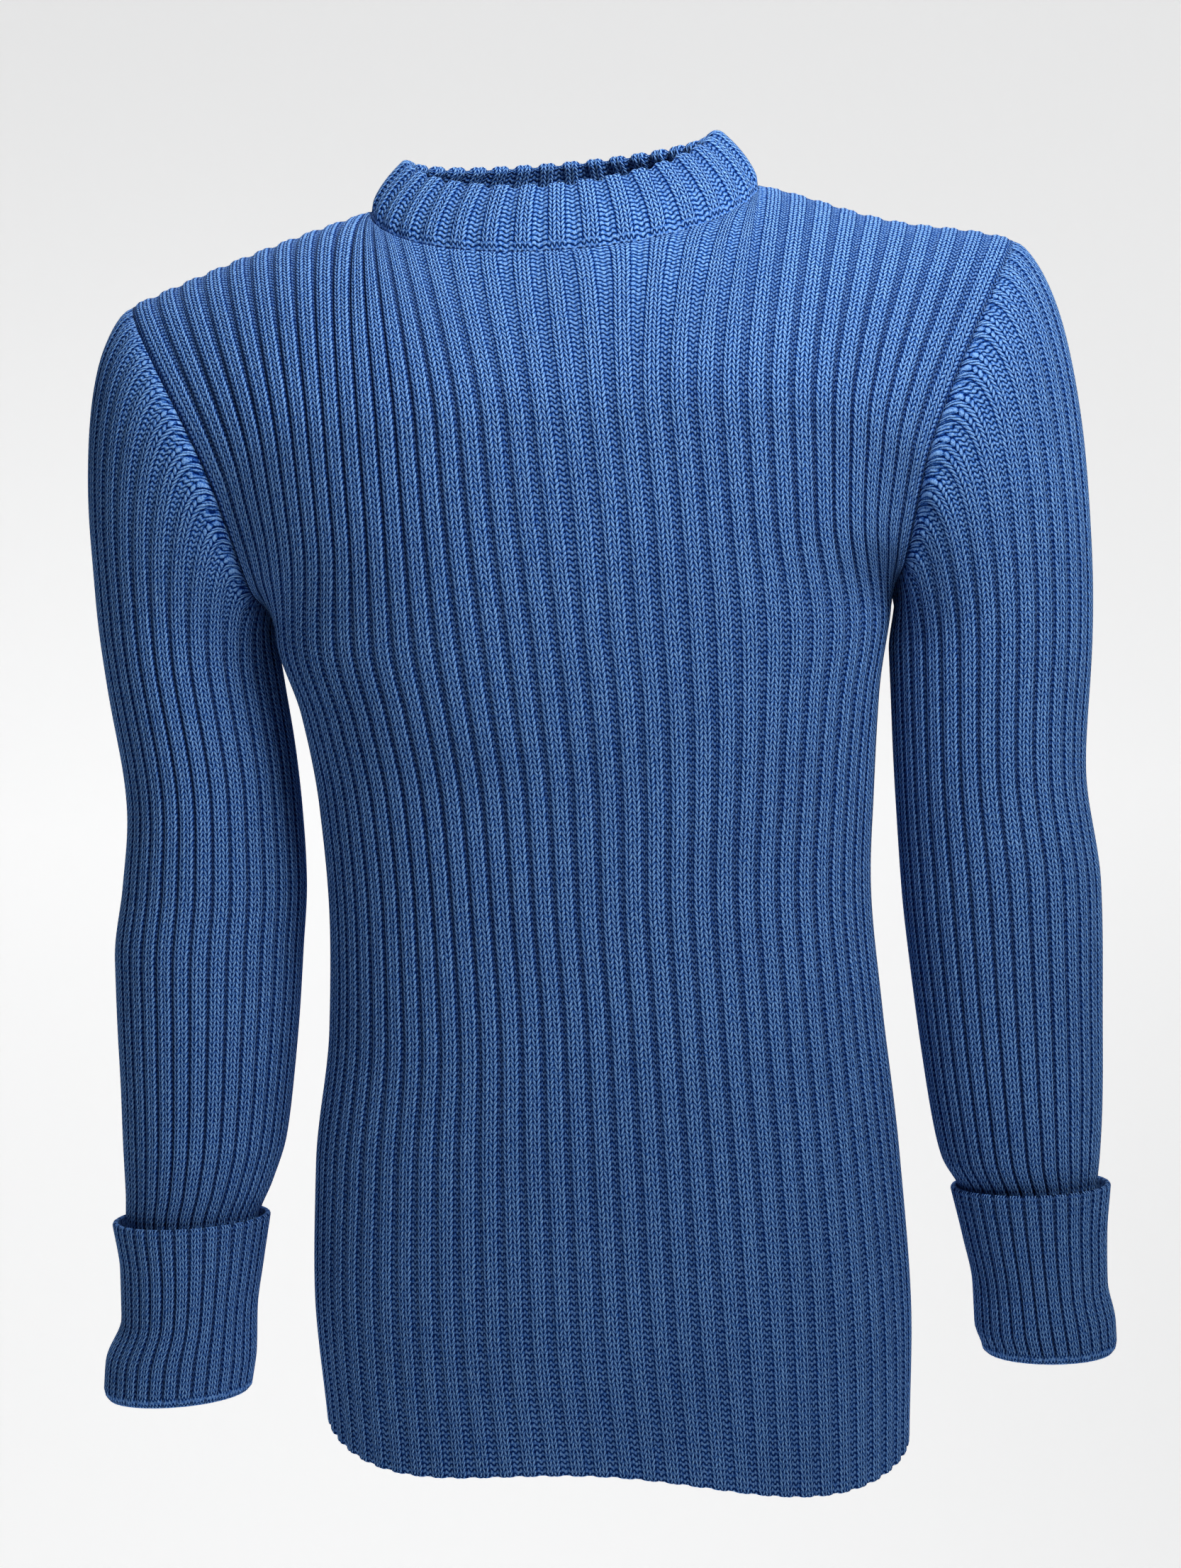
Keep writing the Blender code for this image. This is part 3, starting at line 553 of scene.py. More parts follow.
class Skin:
    """Gathers rows of points and the faces between them, and makes them into one closed mesh."""

    def __init__(self, ribs: int) -> None:
        """Starts empty.

        Args:
            ribs: how many ribs go round a closed piece, which is where its u starts again.
        """
        self.ribs = ribs
        self.points: list = []
        self.uvs: list = []
        self.triangles: list = []
        self.quads: list = []
        self.count = 0

    def row(self, points: Array, uv: Array) -> Array:
        """Adds a row of points.

        Args:
            points: the row.
            uv: three numbers for each, as Fabric.uv gives them.

        Returns:
            The points' numbers.
        """
        numbers = np.arange(self.count, self.count + len(points))
        self.points.append(points)
        self.uvs.append(uv)
        self.count += len(points)
        return numbers

    def wall(self, fabric: Fabric) -> tuple:
        """Adds the rows of a wall of cloth: the outside's upwards, then the coarser inside's downwards.

        Args:
            fabric: the spread fabric.

        Returns:
            The numbers of the outside's rows, of the inside's uppermost row, and of its other rows.
        """
        outside, inside, uv = fabric.outside(), fabric.inside(CLOTH.wall), fabric.uv()
        outer = [self.row(points, places) for points, places in zip(outside, uv)]
        top = self.row(inside[-1], uv[-1])
        coarse = range(len(inside) - 1 - ROW_RATIO, -1, -ROW_RATIO)
        inner = [self.row(inside[i, ::COLUMN_RATIO], uv[i, ::COLUMN_RATIO]) for i in coarse]
        return outer, top, inner

    def strip(self, first: Array, second: Array, wraps: bool = False) -> None:
        """Faces between two rows, one of which may have several steps to each of the other's.

        Equal rows get quads. Otherwise each long step is a fan: half of the short steps meet its start and
        half its end, and one triangle lies between.

        Args:
            first: numbers of the row that is met first.
            second: numbers of the next.
            wraps: whether they are closed.
        """
        if wraps:
            first, second = np.append(first, first[0]), np.append(second, second[0])
        if len(first) == len(second):
            self.quads.append(np.stack([first[:-1], first[1:], second[1:], second[:-1]], axis=1))
            return
        flipped = len(first) < len(second)
        fine, coarse = (second, first) if flipped else (first, second)
        ratio = (len(fine) - 1) // (len(coarse) - 1)
        step = np.arange(len(coarse) - 1)
        half = (ratio + 1) // 2
        made = []
        for j in range(ratio):
            top = coarse[step] if j < half else coarse[step + 1]
            made.append(np.stack([fine[step * ratio + j], fine[step * ratio + j + 1], top], axis=1))
        made.append(np.stack([fine[step * ratio + half], coarse[step + 1], coarse[step]], axis=1))
        triangles = np.concatenate(made)
        self.triangles.append(triangles[:, ::-1] if flipped else triangles)

    def loop(self, rows: Sequence[Array], wraps: bool) -> None:
        """Strips between each row and the next, and from the last back to the first."""
        for first, second in zip(rows, [*rows[1:], rows[0]]):
            self.strip(first, second, wraps)

    def corner_uvs(self, faces: Array, uv: Array) -> Array:
        """u and v at the corners of faces, with u carried past the seam of a closed piece.

        Args:
            faces: the points' numbers, one row for each face.
            uv: of all points.

        Returns:
            Two numbers for each corner.
        """
        corners = uv[faces][..., :2]
        u = corners[..., 0]
        across_seam = np.ptp(u, axis=1, keepdims=True) > self.ribs / 2
        corners[..., 0] = np.where(across_seam & (u < self.ribs / 2), u + self.ribs, u)
        return corners

    def make(self, name: str) -> bpy.types.Object:
        """Makes the mesh and its object, turned so that its volume is positive.

        Args:
            name: the object's name.

        Returns:
            The object, in the scene's own collection.
        """
        points = NECK.tilted(np.concatenate(self.points))
        uv = np.concatenate(self.uvs)
        quads = np.concatenate(self.quads)
        triangles = np.concatenate(self.triangles) if self.triangles else np.zeros((0, 3), int)
        halves = np.concatenate([triangles, quads[:, :3], quads[:, [0, 2, 3]]])
        a, b, c = (points[halves[:, i]] for i in range(3))
        if (a * np.cross(b, c)).sum() < 0:
            triangles, quads = triangles[:, ::-1], quads[:, ::-1]
        mesh = bpy.data.meshes.new(name)
        mesh.from_pydata(points.tolist(), [], triangles.tolist() + quads.tolist())
        layer = mesh.uv_layers.new(name="knit")
        corners = [self.corner_uvs(faces, uv).reshape(-1, 2) for faces in (triangles, quads) if len(faces)]
        layer.data.foreach_set("uv", np.concatenate(corners).astype(np.float32).ravel())
        opened = mesh.attributes.new("opened", "FLOAT", "POINT")
        opened.data.foreach_set("value", uv[:, 2].astype(np.float32))
        mesh.shade_smooth()
        piece = bpy.data.objects.new(name, mesh)
        bpy.context.scene.collection.objects.link(piece)
        return piece


@dataclass
class Piece:
    """What every piece of the jumper has: the CAD node that it stands for, its slot and its flat cut."""

    node: str
    slot: str
    flat: tuple
    area: float

    def skin(self) -> Skin:
        """The piece's closed shell: each kind of piece has its own."""
        raise NotImplementedError

    def build(self, name: str, material: bpy.types.Material) -> bpy.types.Object:
        """Makes the piece, with its material, hides its CAD node and puts it on its body.

        Args:
            name: the object's name.
            material: its finish.

        Returns:
            The placed object.
        """
        piece = self.skin().make(name)
        piece.data.materials.append(material)
        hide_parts(self.node)
        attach(piece, BODY_NAME)
        LOG.info("%s: %d points", name, len(piece.data.vertices))
        return piece


BODY_SECTIONS = (
    Section(-0.662, -0.658, 0.0000, 0.1565, 0.000, -0.110, 0.100, 90, 1.0, 0.010, 0.080, -0.020),
    Section(-0.590, -0.590, 0.0000, 0.1605, 0.000, -0.109, 0.099, 90, 1.0, 0.000, 0.040, 0.000),
    Section(-0.515, -0.515, 0.0003, 0.1575, 0.000, -0.105, 0.093, 90, 1.0, 0.000, 0.015, 0.004),
    Section(-0.440, -0.440, 0.0025, 0.1495, 0.000, -0.101, 0.088, 90, 1.0, 0.000, 0.000, 0.016),
    Section(-0.380, -0.380, 0.0022, 0.1465, 0.000, -0.100, 0.088, 90, 0.9, 0.000, 0.000, 0.024),
    Section(-0.320, -0.320, 0.0030, 0.1500, 0.000, -0.104, 0.093, 90, 0.8, 0.000, 0.000, 0.026),
    Section(-0.280, -0.264, 0.0020, 0.1565, 0.000, -0.110, 0.099, 90, 0.8, 0.000, 0.000, 0.028),
    Section(-0.238, -0.222, 0.0000, 0.1665, 0.000, -0.115, 0.104, 90, 0.95, 0.000, 0.000, 0.031),
    Section(-0.185, -0.205, 0.0000, 0.1725, 0.048, -0.118, 0.108, 76, 0.25, 0.000, 0.000, 0.044),
    Section(-0.132, -0.165, 0.0000, 0.1820, 0.067, -0.119, 0.110, 66, 0.2, 0.000, 0.000, 0.058),
)


@dataclass
class BodyPanel(Piece):
    """The front or the back: a loft through the body's sections, then a yoke bent over to the top seams."""

    side: Side
    ribs: int = 36
    lower_rows: int = 148
    upper_rows: int = 92
    underarm: int = 7
    square: float = 2.3
    spread_square: float = 2.1
    edge_power: float = 5
    drift_reach: float = 0.75
    yoke_pull: float = 0.8
    slope_step: float = 0.02
    neck_slopes: tuple = (52, 64)
    shoulder_slope: float = 9
    soft_width: float = 0.30
    soft_samples: int = 9
    corner_reach: float = 4
    hem_open: float = 0.25
    hem_open_reach: float = 0.10
    hem_turns: tuple = (-50.0, 0.0, 50.0)
    hem_courses: float = 0.5
    seam_flat: float = 0.9
    unevenness: float = 0.0008
    seed: int = 3

    def section_points(self, section: Section, across: Array) -> Array:
        """One section: a superellipse from edge to edge, shared out among the ribs by length and by turn.

        Steps of turn are taken on a rounder curve than the section's own, so the middle ribs come out even.

        Args:
            section: its sizes.
            across: places over the panel, from -1 to 1.

        Returns:
            Points of the section.
        """
        side = self.side.value
        wrap = np.radians(section.wrap)
        power = 2.0 / self.square
        turn = np.linspace(0.0, wrap, CURVE_STEPS + 1)
        sine = np.sin(turn) ** power / np.sin(wrap) ** power
        edge_cosine = max(np.cos(wrap), 0.0) ** power
        cosine = (np.maximum(np.cos(turn), 0.0) ** power - edge_cosine) / (1.0 - edge_cosine)
        mid_y = section.front_y if side < 0 else section.back_y
        edge_y = side * section.edge_y
        half = np.stack([section.half_width * sine, edge_y + (mid_y - edge_y) * cosine], axis=1)
        length = lengths_along(half)
        if side < 0:
            inner = 1.0 - np.clip(np.abs(across) / self.drift_reach, 0.0, 1.0) ** 2
            across = across - section.drift * inner**2
        reach = np.abs(across)
        by_length = np.interp(reach * length[-1], length, turn)
        rounder = (np.sin(reach * wrap) / np.sin(wrap)) ** (2.0 / self.spread_square)
        by_turn = np.interp(rounder * section.half_width, half[:, 0], turn)
        picked = section.even * by_length + (1.0 - section.even) * by_turn
        x = np.interp(picked, turn, half[:, 0])
        q = (x / section.half_width) ** 2
        z = section.mid_z + (section.edge_z - section.mid_z) * reach**self.edge_power
        z -= section.dip * 4.0 * q * (1.0 - q)
        x *= np.sign(across)
        y = np.interp(picked, turn, half[:, 1])
        return np.stack([section.centre_x + x, y, z - section.lean * x], axis=1)

    def soft_top(self, across: Array) -> Array:
        """The upper edge with its corner at the neck rounded: a weighted mean of the edge at places beside.

        Args:
            across: places over the panel, from -1 to 1.

        Returns:
            Points of the edge.
        """
        total = np.zeros((len(across), 3))
        offsets = np.linspace(-self.soft_width, self.soft_width, self.soft_samples + 2)[1:-1]
        weights = self.soft_width - np.abs(offsets)
        for offset, weight in zip(offsets, weights / weights.sum()):
            moved = across + offset
            past = np.abs(moved) > 1.0
            folded = np.where(past, 2.0 * np.sign(moved) - moved, moved)
            points = NECK.top_seam(self.side, folded)
            points[past] = 2.0 * NECK.top_seam(self.side, np.clip(moved, -1.0, 1.0)[past]) - points[past]
            total += weight * points
        return total

    def surface(self, across: Array, levels: Array, knots: Array, sections: Array) -> Array:
        """Rows of the smooth surface: a cubic loft to level 1 at the chest, and a Hermite yoke up to 2.

        Args:
            across: places over the panel, from -1 to 1.
            levels: from 0 at the hem to 2 at the top seam.
            knots: level of each section.
            sections: points of each section.

        Returns:
            The grid of points.
        """
        lower = smooth_through(knots, sections, levels[levels <= 1.0])
        top = self.soft_top(across)
        corner = NECK.top_seam(self.side, across) - top
        reach = np.linalg.norm(top - sections[-1], axis=1, keepdims=True) * self.yoke_pull
        before = smooth_through(knots, sections, np.array([1.0 - self.slope_step]))[0]
        slope = self.neck_slopes[0] if self.side is Side.FRONT else self.neck_slopes[1]
        toward_shoulder = smooth_step(np.abs(across) / NECK.share)
        angle = np.radians(slope + (self.shoulder_slope - slope) * toward_shoulder)
        arrive = np.stack([np.zeros_like(angle), -self.side.value * np.cos(angle), np.sin(angle)], axis=1)
        share = levels[levels > 1.0] - 1.0
        yoke = hermite(sections[-1], unit(sections[-1] - before) * reach, top, arrive * reach, share)
        return np.concatenate([lower, yoke + corner * share[:, None, None] ** self.corner_reach])

    def weave(self) -> None:
        """Works out the panel's smooth fabric: even rows below the underarm, and even rows above it."""
        across = np.linspace(-1.0, 1.0, self.ribs * BASE_STEPS + 1)
        sections = np.array([self.section_points(section, across) for section in BODY_SECTIONS])
        knots = mean_lengths(sections)
        knots /= knots[-1]
        trial = np.linspace(0.0, 2.0, CURVE_STEPS + 1)
        rows = self.surface(across, trial, knots, sections)
        length = mean_lengths(rows)
        split = np.interp(knots[self.underarm], trial, length)
        marks = np.concatenate([
            np.linspace(0.0, split, self.lower_rows + 1)[:-1],
            np.linspace(split, length[-1], self.upper_rows + 1),
        ])
        levels = np.interp(marks, length, trial)
        levels[self.lower_rows] = knots[self.underarm]
        levels[-1] = 2.0
        points = self.surface(across, levels, knots, sections)
        self.across = across
        self.fabric = Fabric.smooth(points, -self.side.value, wraps=False)
        self.neck = np.flatnonzero(np.abs(across) < NECK.share + TINY)
        self.armhole = np.arange(self.lower_rows, len(points))

    def across_distance(self, edge: int) -> Array:
        """Distance of each point from the panel's side edge, along its row."""
        along = grid_lengths(self.fabric.points, 1)
        return along if edge == 0 else along[:, -1:] - along

    def top_distance(self) -> Array:
        """Distance of each point from the panel's upper edge, along its column."""
        along = grid_lengths(self.fabric.points, 0)
        return along[-1:] - along

    def draw_in_edges(self, top_way: Array, edge_ways: dict) -> None:
        """Sinks the cloth to its seams and turns it to the ways out that it shares there.

        Args:
            top_way: for each column, along the neck and shoulder seams.
            edge_ways: for each side edge, by its column, the way out of each row.
        """
        for edge, ways in edge_ways.items():
            distance = self.across_distance(edge)
            self.fabric.draw_in(distance, ways[:, None, :], sink=CLOTH.seam_sink / 3)
        sink = CLOTH.seam_sink / 2
        self.fabric.draw_in(self.top_distance(), top_way[None], sink=sink, flat=self.seam_flat)

    def hem_rows(self, fabric: Fabric, skin: Skin) -> list:
        """Rows round the hem, from the inside to the outside: a half circle as thick as the wall.

        Args:
            fabric: the spread fabric.
            skin: takes the rows.

        Returns:
            The numbers of each row's points.
        """
        outside, inside = fabric.outside()[0], fabric.inside(CLOTH.wall)[0]
        centre, half = (outside + inside) / 2, (outside - inside) / 2
        down = unit(fabric.points[0] - fabric.points[1])
        radius = np.linalg.norm(half, axis=1, keepdims=True)
        uv = fabric.uv()[0]
        rows = []
        for turn in np.radians(self.hem_turns):
            points = centre + half * np.sin(turn) + down * radius * np.cos(turn)
            rows.append(skin.row(points, uv - np.array((0.0, self.hem_courses * np.cos(turn), 0.0))))
        return rows

    def skin(self) -> Skin:
        """The panel's shell: up the outside, down the inside, and round the hem.

        Towards the hem the ribs open by hem_open·e^(-d/hem_open_reach), where d is the distance from it.

        Returns:
            The shell, closed at its side edges too.
        """
        noise = SoftNoise(self.seed)
        lift = noise.at(self.fabric.points) * self.unevenness
        from_side = np.minimum(self.across_distance(0), self.across_distance(-1))
        calm = np.minimum(1.0, self.top_distance() / CALM_REACH) * np.minimum(1.0, from_side / CALM_REACH)
        self.fabric.points = self.fabric.points + self.fabric.way_out * (lift * calm)[..., None]
        below_top = self.top_distance().mean(axis=1, keepdims=True)
        loose = 1.0 + self.hem_open * np.exp((below_top - below_top[0]) / self.hem_open_reach)
        fabric = self.fabric.spread(self.ribs, BODY_RIB, wraps=False, loose=loose)
        skin = Skin(self.ribs)
        outer, top, inner = skin.wall(fabric)
        hem = self.hem_rows(fabric, skin)
        skin.loop([*outer, top, *inner, *hem], wraps=False)
        for end in (0, -1):
            self.close_edge(skin, end, outer, [*inner[::-1], top], hem)
        return skin

    @staticmethod
    def close_edge(skin: Skin, end: int, outer: list, inner: list, hem: list) -> None:
        """Faces that close the shell at one of its side edges.

        Args:
            skin: takes the faces.
            end: 0 for the edge at the rows' start, -1 for the one at their end.
            outer: numbers of the outside's rows, upwards.
            inner: numbers of the inside's, upwards.
            hem: numbers of the three rows round the hem, from the inside.
        """
        outer_edge = np.array([row[end] for row in outer])
        inner_edge = np.array([row[end] for row in inner])
        quad = [outer_edge[0], inner_edge[0], hem[1][end], hem[2][end]]
        triangle = [inner_edge[0], hem[0][end], hem[1][end]]
        if end == 0:
            skin.strip(outer_edge, inner_edge)
        else:
            skin.strip(inner_edge, outer_edge)
            quad = [quad[i] for i in (1, 0, 3, 2)]
            triangle = [triangle[i] for i in (0, 2, 1)]
        skin.quads.append(np.array([quad]))
        skin.triangles.append(np.array([triangle]))


@dataclass
class Sleeve(Piece):
    """A set-in sleeve: a cap that bends from the armhole down the arm, then a loft through rings.

    It is worked out for the wearer's left and mirrored for the right. Its columns run from the underarm by
    the front to the shoulder and back behind.
    """

    arm: Arm
    rings: tuple
    ribs: int = 32
    rows: int = 184
    cap_pull: tuple = (0.62, 0.95)
    cap_round: tuple = (0.8, 0.3)
    cap_down: tuple = (0.6, 0.9)
    cap_out: float = 0.6
    by_angle: float = 0.5
    arm_length: float = 0.315
    turned_ribs: float = 1.3
    turned_reach: float = 0.024
    seam_flat: float = 0.5
    unevenness: float = 0.0009
    seed: int = 11

    @property
    def flip(self) -> Array:
        """Mirrors points in X for the wearer's right."""
        return np.array([float(self.arm.value), 1.0, 1.0])

    @staticmethod
    def ring_points(ring: Ring, turn: Array) -> Array:
        """An ellipse round the arm.

        Args:
            ring: its sizes.
            turn: angles, 0 at its outside and a quarter turn at its front.

        Returns:
            Points of the ellipse.
        """
        x = ring.centre_x + ring.half_x * np.cos(turn)
        y = ring.centre_y - ring.half_y * np.sin(turn)
        return np.stack([x, y, np.full_like(turn, ring.z)], axis=1)

    def leave(self, turn: Array) -> Array:
        """Direction in which the sleeve leaves the armhole: outwards at the shoulder, downwards below.

        Args:
            turn: each column's angle round the arm.

        Returns:
            One unit vector for each column.
        """
        low = (1.0 - np.cos(turn)) / 2.0
        round_arm = self.cap_round[0] + (self.cap_round[1] - self.cap_round[0]) * low
        down = self.cap_down[0] + (self.cap_down[1] - self.cap_down[0]) * low
        x = round_arm * np.cos(turn) + self.cap_out * low
        return unit(np.stack([x, -round_arm * np.sin(turn), -down], axis=1))

    def armhole_distances(self, line: Array, shares: Array) -> Array:
        """Where columns start along half an armhole: halfway between even steps of length and of angle.

        Args:
            line: the armhole's edge, from the underarm to the shoulder.
            shares: the columns' places, from 0 to 1.

        Returns:
            Distances along the line.
        """
        length = lengths_along(line)
        angle = np.pi - np.arctan2(np.abs(line[:, 1]), line[:, 0] - self.rings[0].centre_x)
        mixed = (1.0 - self.by_angle) * length / length[-1] + self.by_angle * angle / np.pi
        mixed = np.maximum.accumulate(mixed)
        mixed = (mixed - mixed[0]) / (mixed[-1] - mixed[0])
        return np.interp(shares, mixed, length)

    def surface(self, start: Array, turn: Array, at: Array) -> Array:
        """Rows of the smooth surface: a Hermite cap, then a cubic loft down the rings.

        Args:
            start: points of the armhole's edge.
            turn: each column's angle round the arm.
            at: places down the sleeve, 0 to 1 over the cap and 1 to 2 down the arm.

        Returns:
            The grid of points.
        """
        down = np.array([self.ring_points(ring, turn) for ring in self.rings])
        knots = np.array([self.rings[0].z - ring.z for ring in self.rings])
        reach = np.linalg.norm(down[0] - start, axis=1, keepdims=True)
        leave = self.leave(turn) * reach * self.cap_pull[0]
        arrive = unit(down[1] - down[0]) * reach * self.cap_pull[1]
        cap = hermite(start, leave, down[0], arrive, at[at < 1.0])
        arm = smooth_through(knots, down, (at[at >= 1.0] - 1.0) * self.arm_length)
        return np.concatenate([cap, arm])

    def weave(self, front: BodyPanel, back: BodyPanel) -> None:
        """Works out the sleeve's smooth fabric from the panels' armhole edges, and what it shares with them.

        Args:
            front: the front panel, woven.
            back: the back panel, woven.
        """
        edge = -1 if self.arm is Arm.LEFT else 0
        columns = self.ribs * BASE_STEPS
        half = columns // 2
        shares = np.arange(half + 1) / half
        turn = np.pi - 2.0 * np.pi * np.arange(columns) / columns
        lines = [panel.fabric.points[panel.armhole, edge] * self.flip for panel in (front, back)]
        distances = [self.armhole_distances(line, shares) for line in lines]
        starts = [at_distances(line, line, where) for line, where in zip(lines, distances)]
        start = np.concatenate([starts[0], starts[1][-2:0:-1]])
        trial = np.linspace(0.0, 2.0, CURVE_STEPS + 1)
        rough = self.surface(start, turn, trial)
        length = mean_lengths(rough)
        at = np.interp(np.linspace(0.0, length[-1], self.rows + 1), length, trial)
        points = self.surface(start, turn, at)[::-1]
        fabric = Fabric.smooth(points, 1.0, wraps=True)
        own = fabric.way_out[-1]
        along = grid_lengths(points, 0)
        ways, insets, self.panel_ways = [], [], {}
        for panel, line, where in zip((front, back), lines, distances):
            rows = panel.armhole
            panel_way = panel.fabric.way_out[rows, edge] * self.flip
            order = np.arange(half + 1) if panel is front else (-np.arange(half + 1)) % columns
            mine = at_distances(at_distances(line, line, where), own[order], lengths_along(line))
            shared = shared_way(panel_way, mine)
            inner = panel.fabric.points[rows, 1 if edge == 0 else -2] * self.flip
            inset = away_from_seam(line, inner, shared, wraps=False)
            self.panel_ways[panel.side] = shared * self.flip
            panel.fabric.inset[rows, edge] = inset * self.flip
            ways.append(at_distances(line, shared, where))
            insets.append(-at_distances(line, inset, where))
        way = np.concatenate([ways[0], ways[1][-2:0:-1]])
        fabric.draw_in(along[-1:] - along, way[None], sink=CLOTH.seam_sink, flat=self.seam_flat)
        fabric.inset[-1] = np.concatenate([insets[0], insets[1][-2:0:-1]])
        self.turn_ribs(fabric, (along[-1:] - along).mean(axis=1))
        for values in (fabric.points, fabric.way_out, fabric.inset):
            values *= self.flip
        self.fabric = fabric

    def turn_ribs(self, fabric: Fabric, distance: Array) -> None:
        """Slides the ribs along the seam towards the underarm, so that they leave it at a steeper angle.

        A column is moved by turned_ribs·sin(pi·s)·e^(-d/reach), where s is its place up from the underarm.

        Args:
            fabric: the sleeve's smooth fabric, whose arrays are read anew along their rows.
            distance: of each row from the seam.
        """
        columns = fabric.points.shape[1]
        column = np.arange(columns)
        wave = np.sin(2.0 * np.pi * column / columns)
        moved = self.turned_ribs * BASE_STEPS * wave * np.exp(-distance[:, None] / self.turned_reach)
        at = (column - moved) % columns
        low = np.floor(at).astype(int) % columns
        part = at - np.floor(at)
        row = np.arange(len(at))[:, None]
        for values in fabric.fields():
            share = part[..., None] if values.ndim == 3 else part
            values[...] = values[row, low] * (1.0 - share) + values[row, (low + 1) % columns] * share

    def skin(self) -> Skin:
        """The sleeve's shell: up the outside from the wrist, and down the inside.

        Returns:
            The shell.
        """
        fabric = self.fabric
        along = grid_lengths(fabric.points, 0)
        calm = np.minimum(1.0, (along[-1:] - along) / CALM_REACH) * np.minimum(1.0, along / CALM_REACH)
        lift = SoftNoise(self.seed + self.arm.value).at(fabric.points) * self.unevenness * calm
        fabric.points = fabric.points + fabric.way_out * lift[..., None]
        spread = fabric.spread(self.ribs, SLEEVE_RIB, wraps=True)
        skin = Skin(self.ribs)
        outer, top, inner = skin.wall(spread)
        skin.loop([*outer, top, *inner], wraps=True)
        return skin


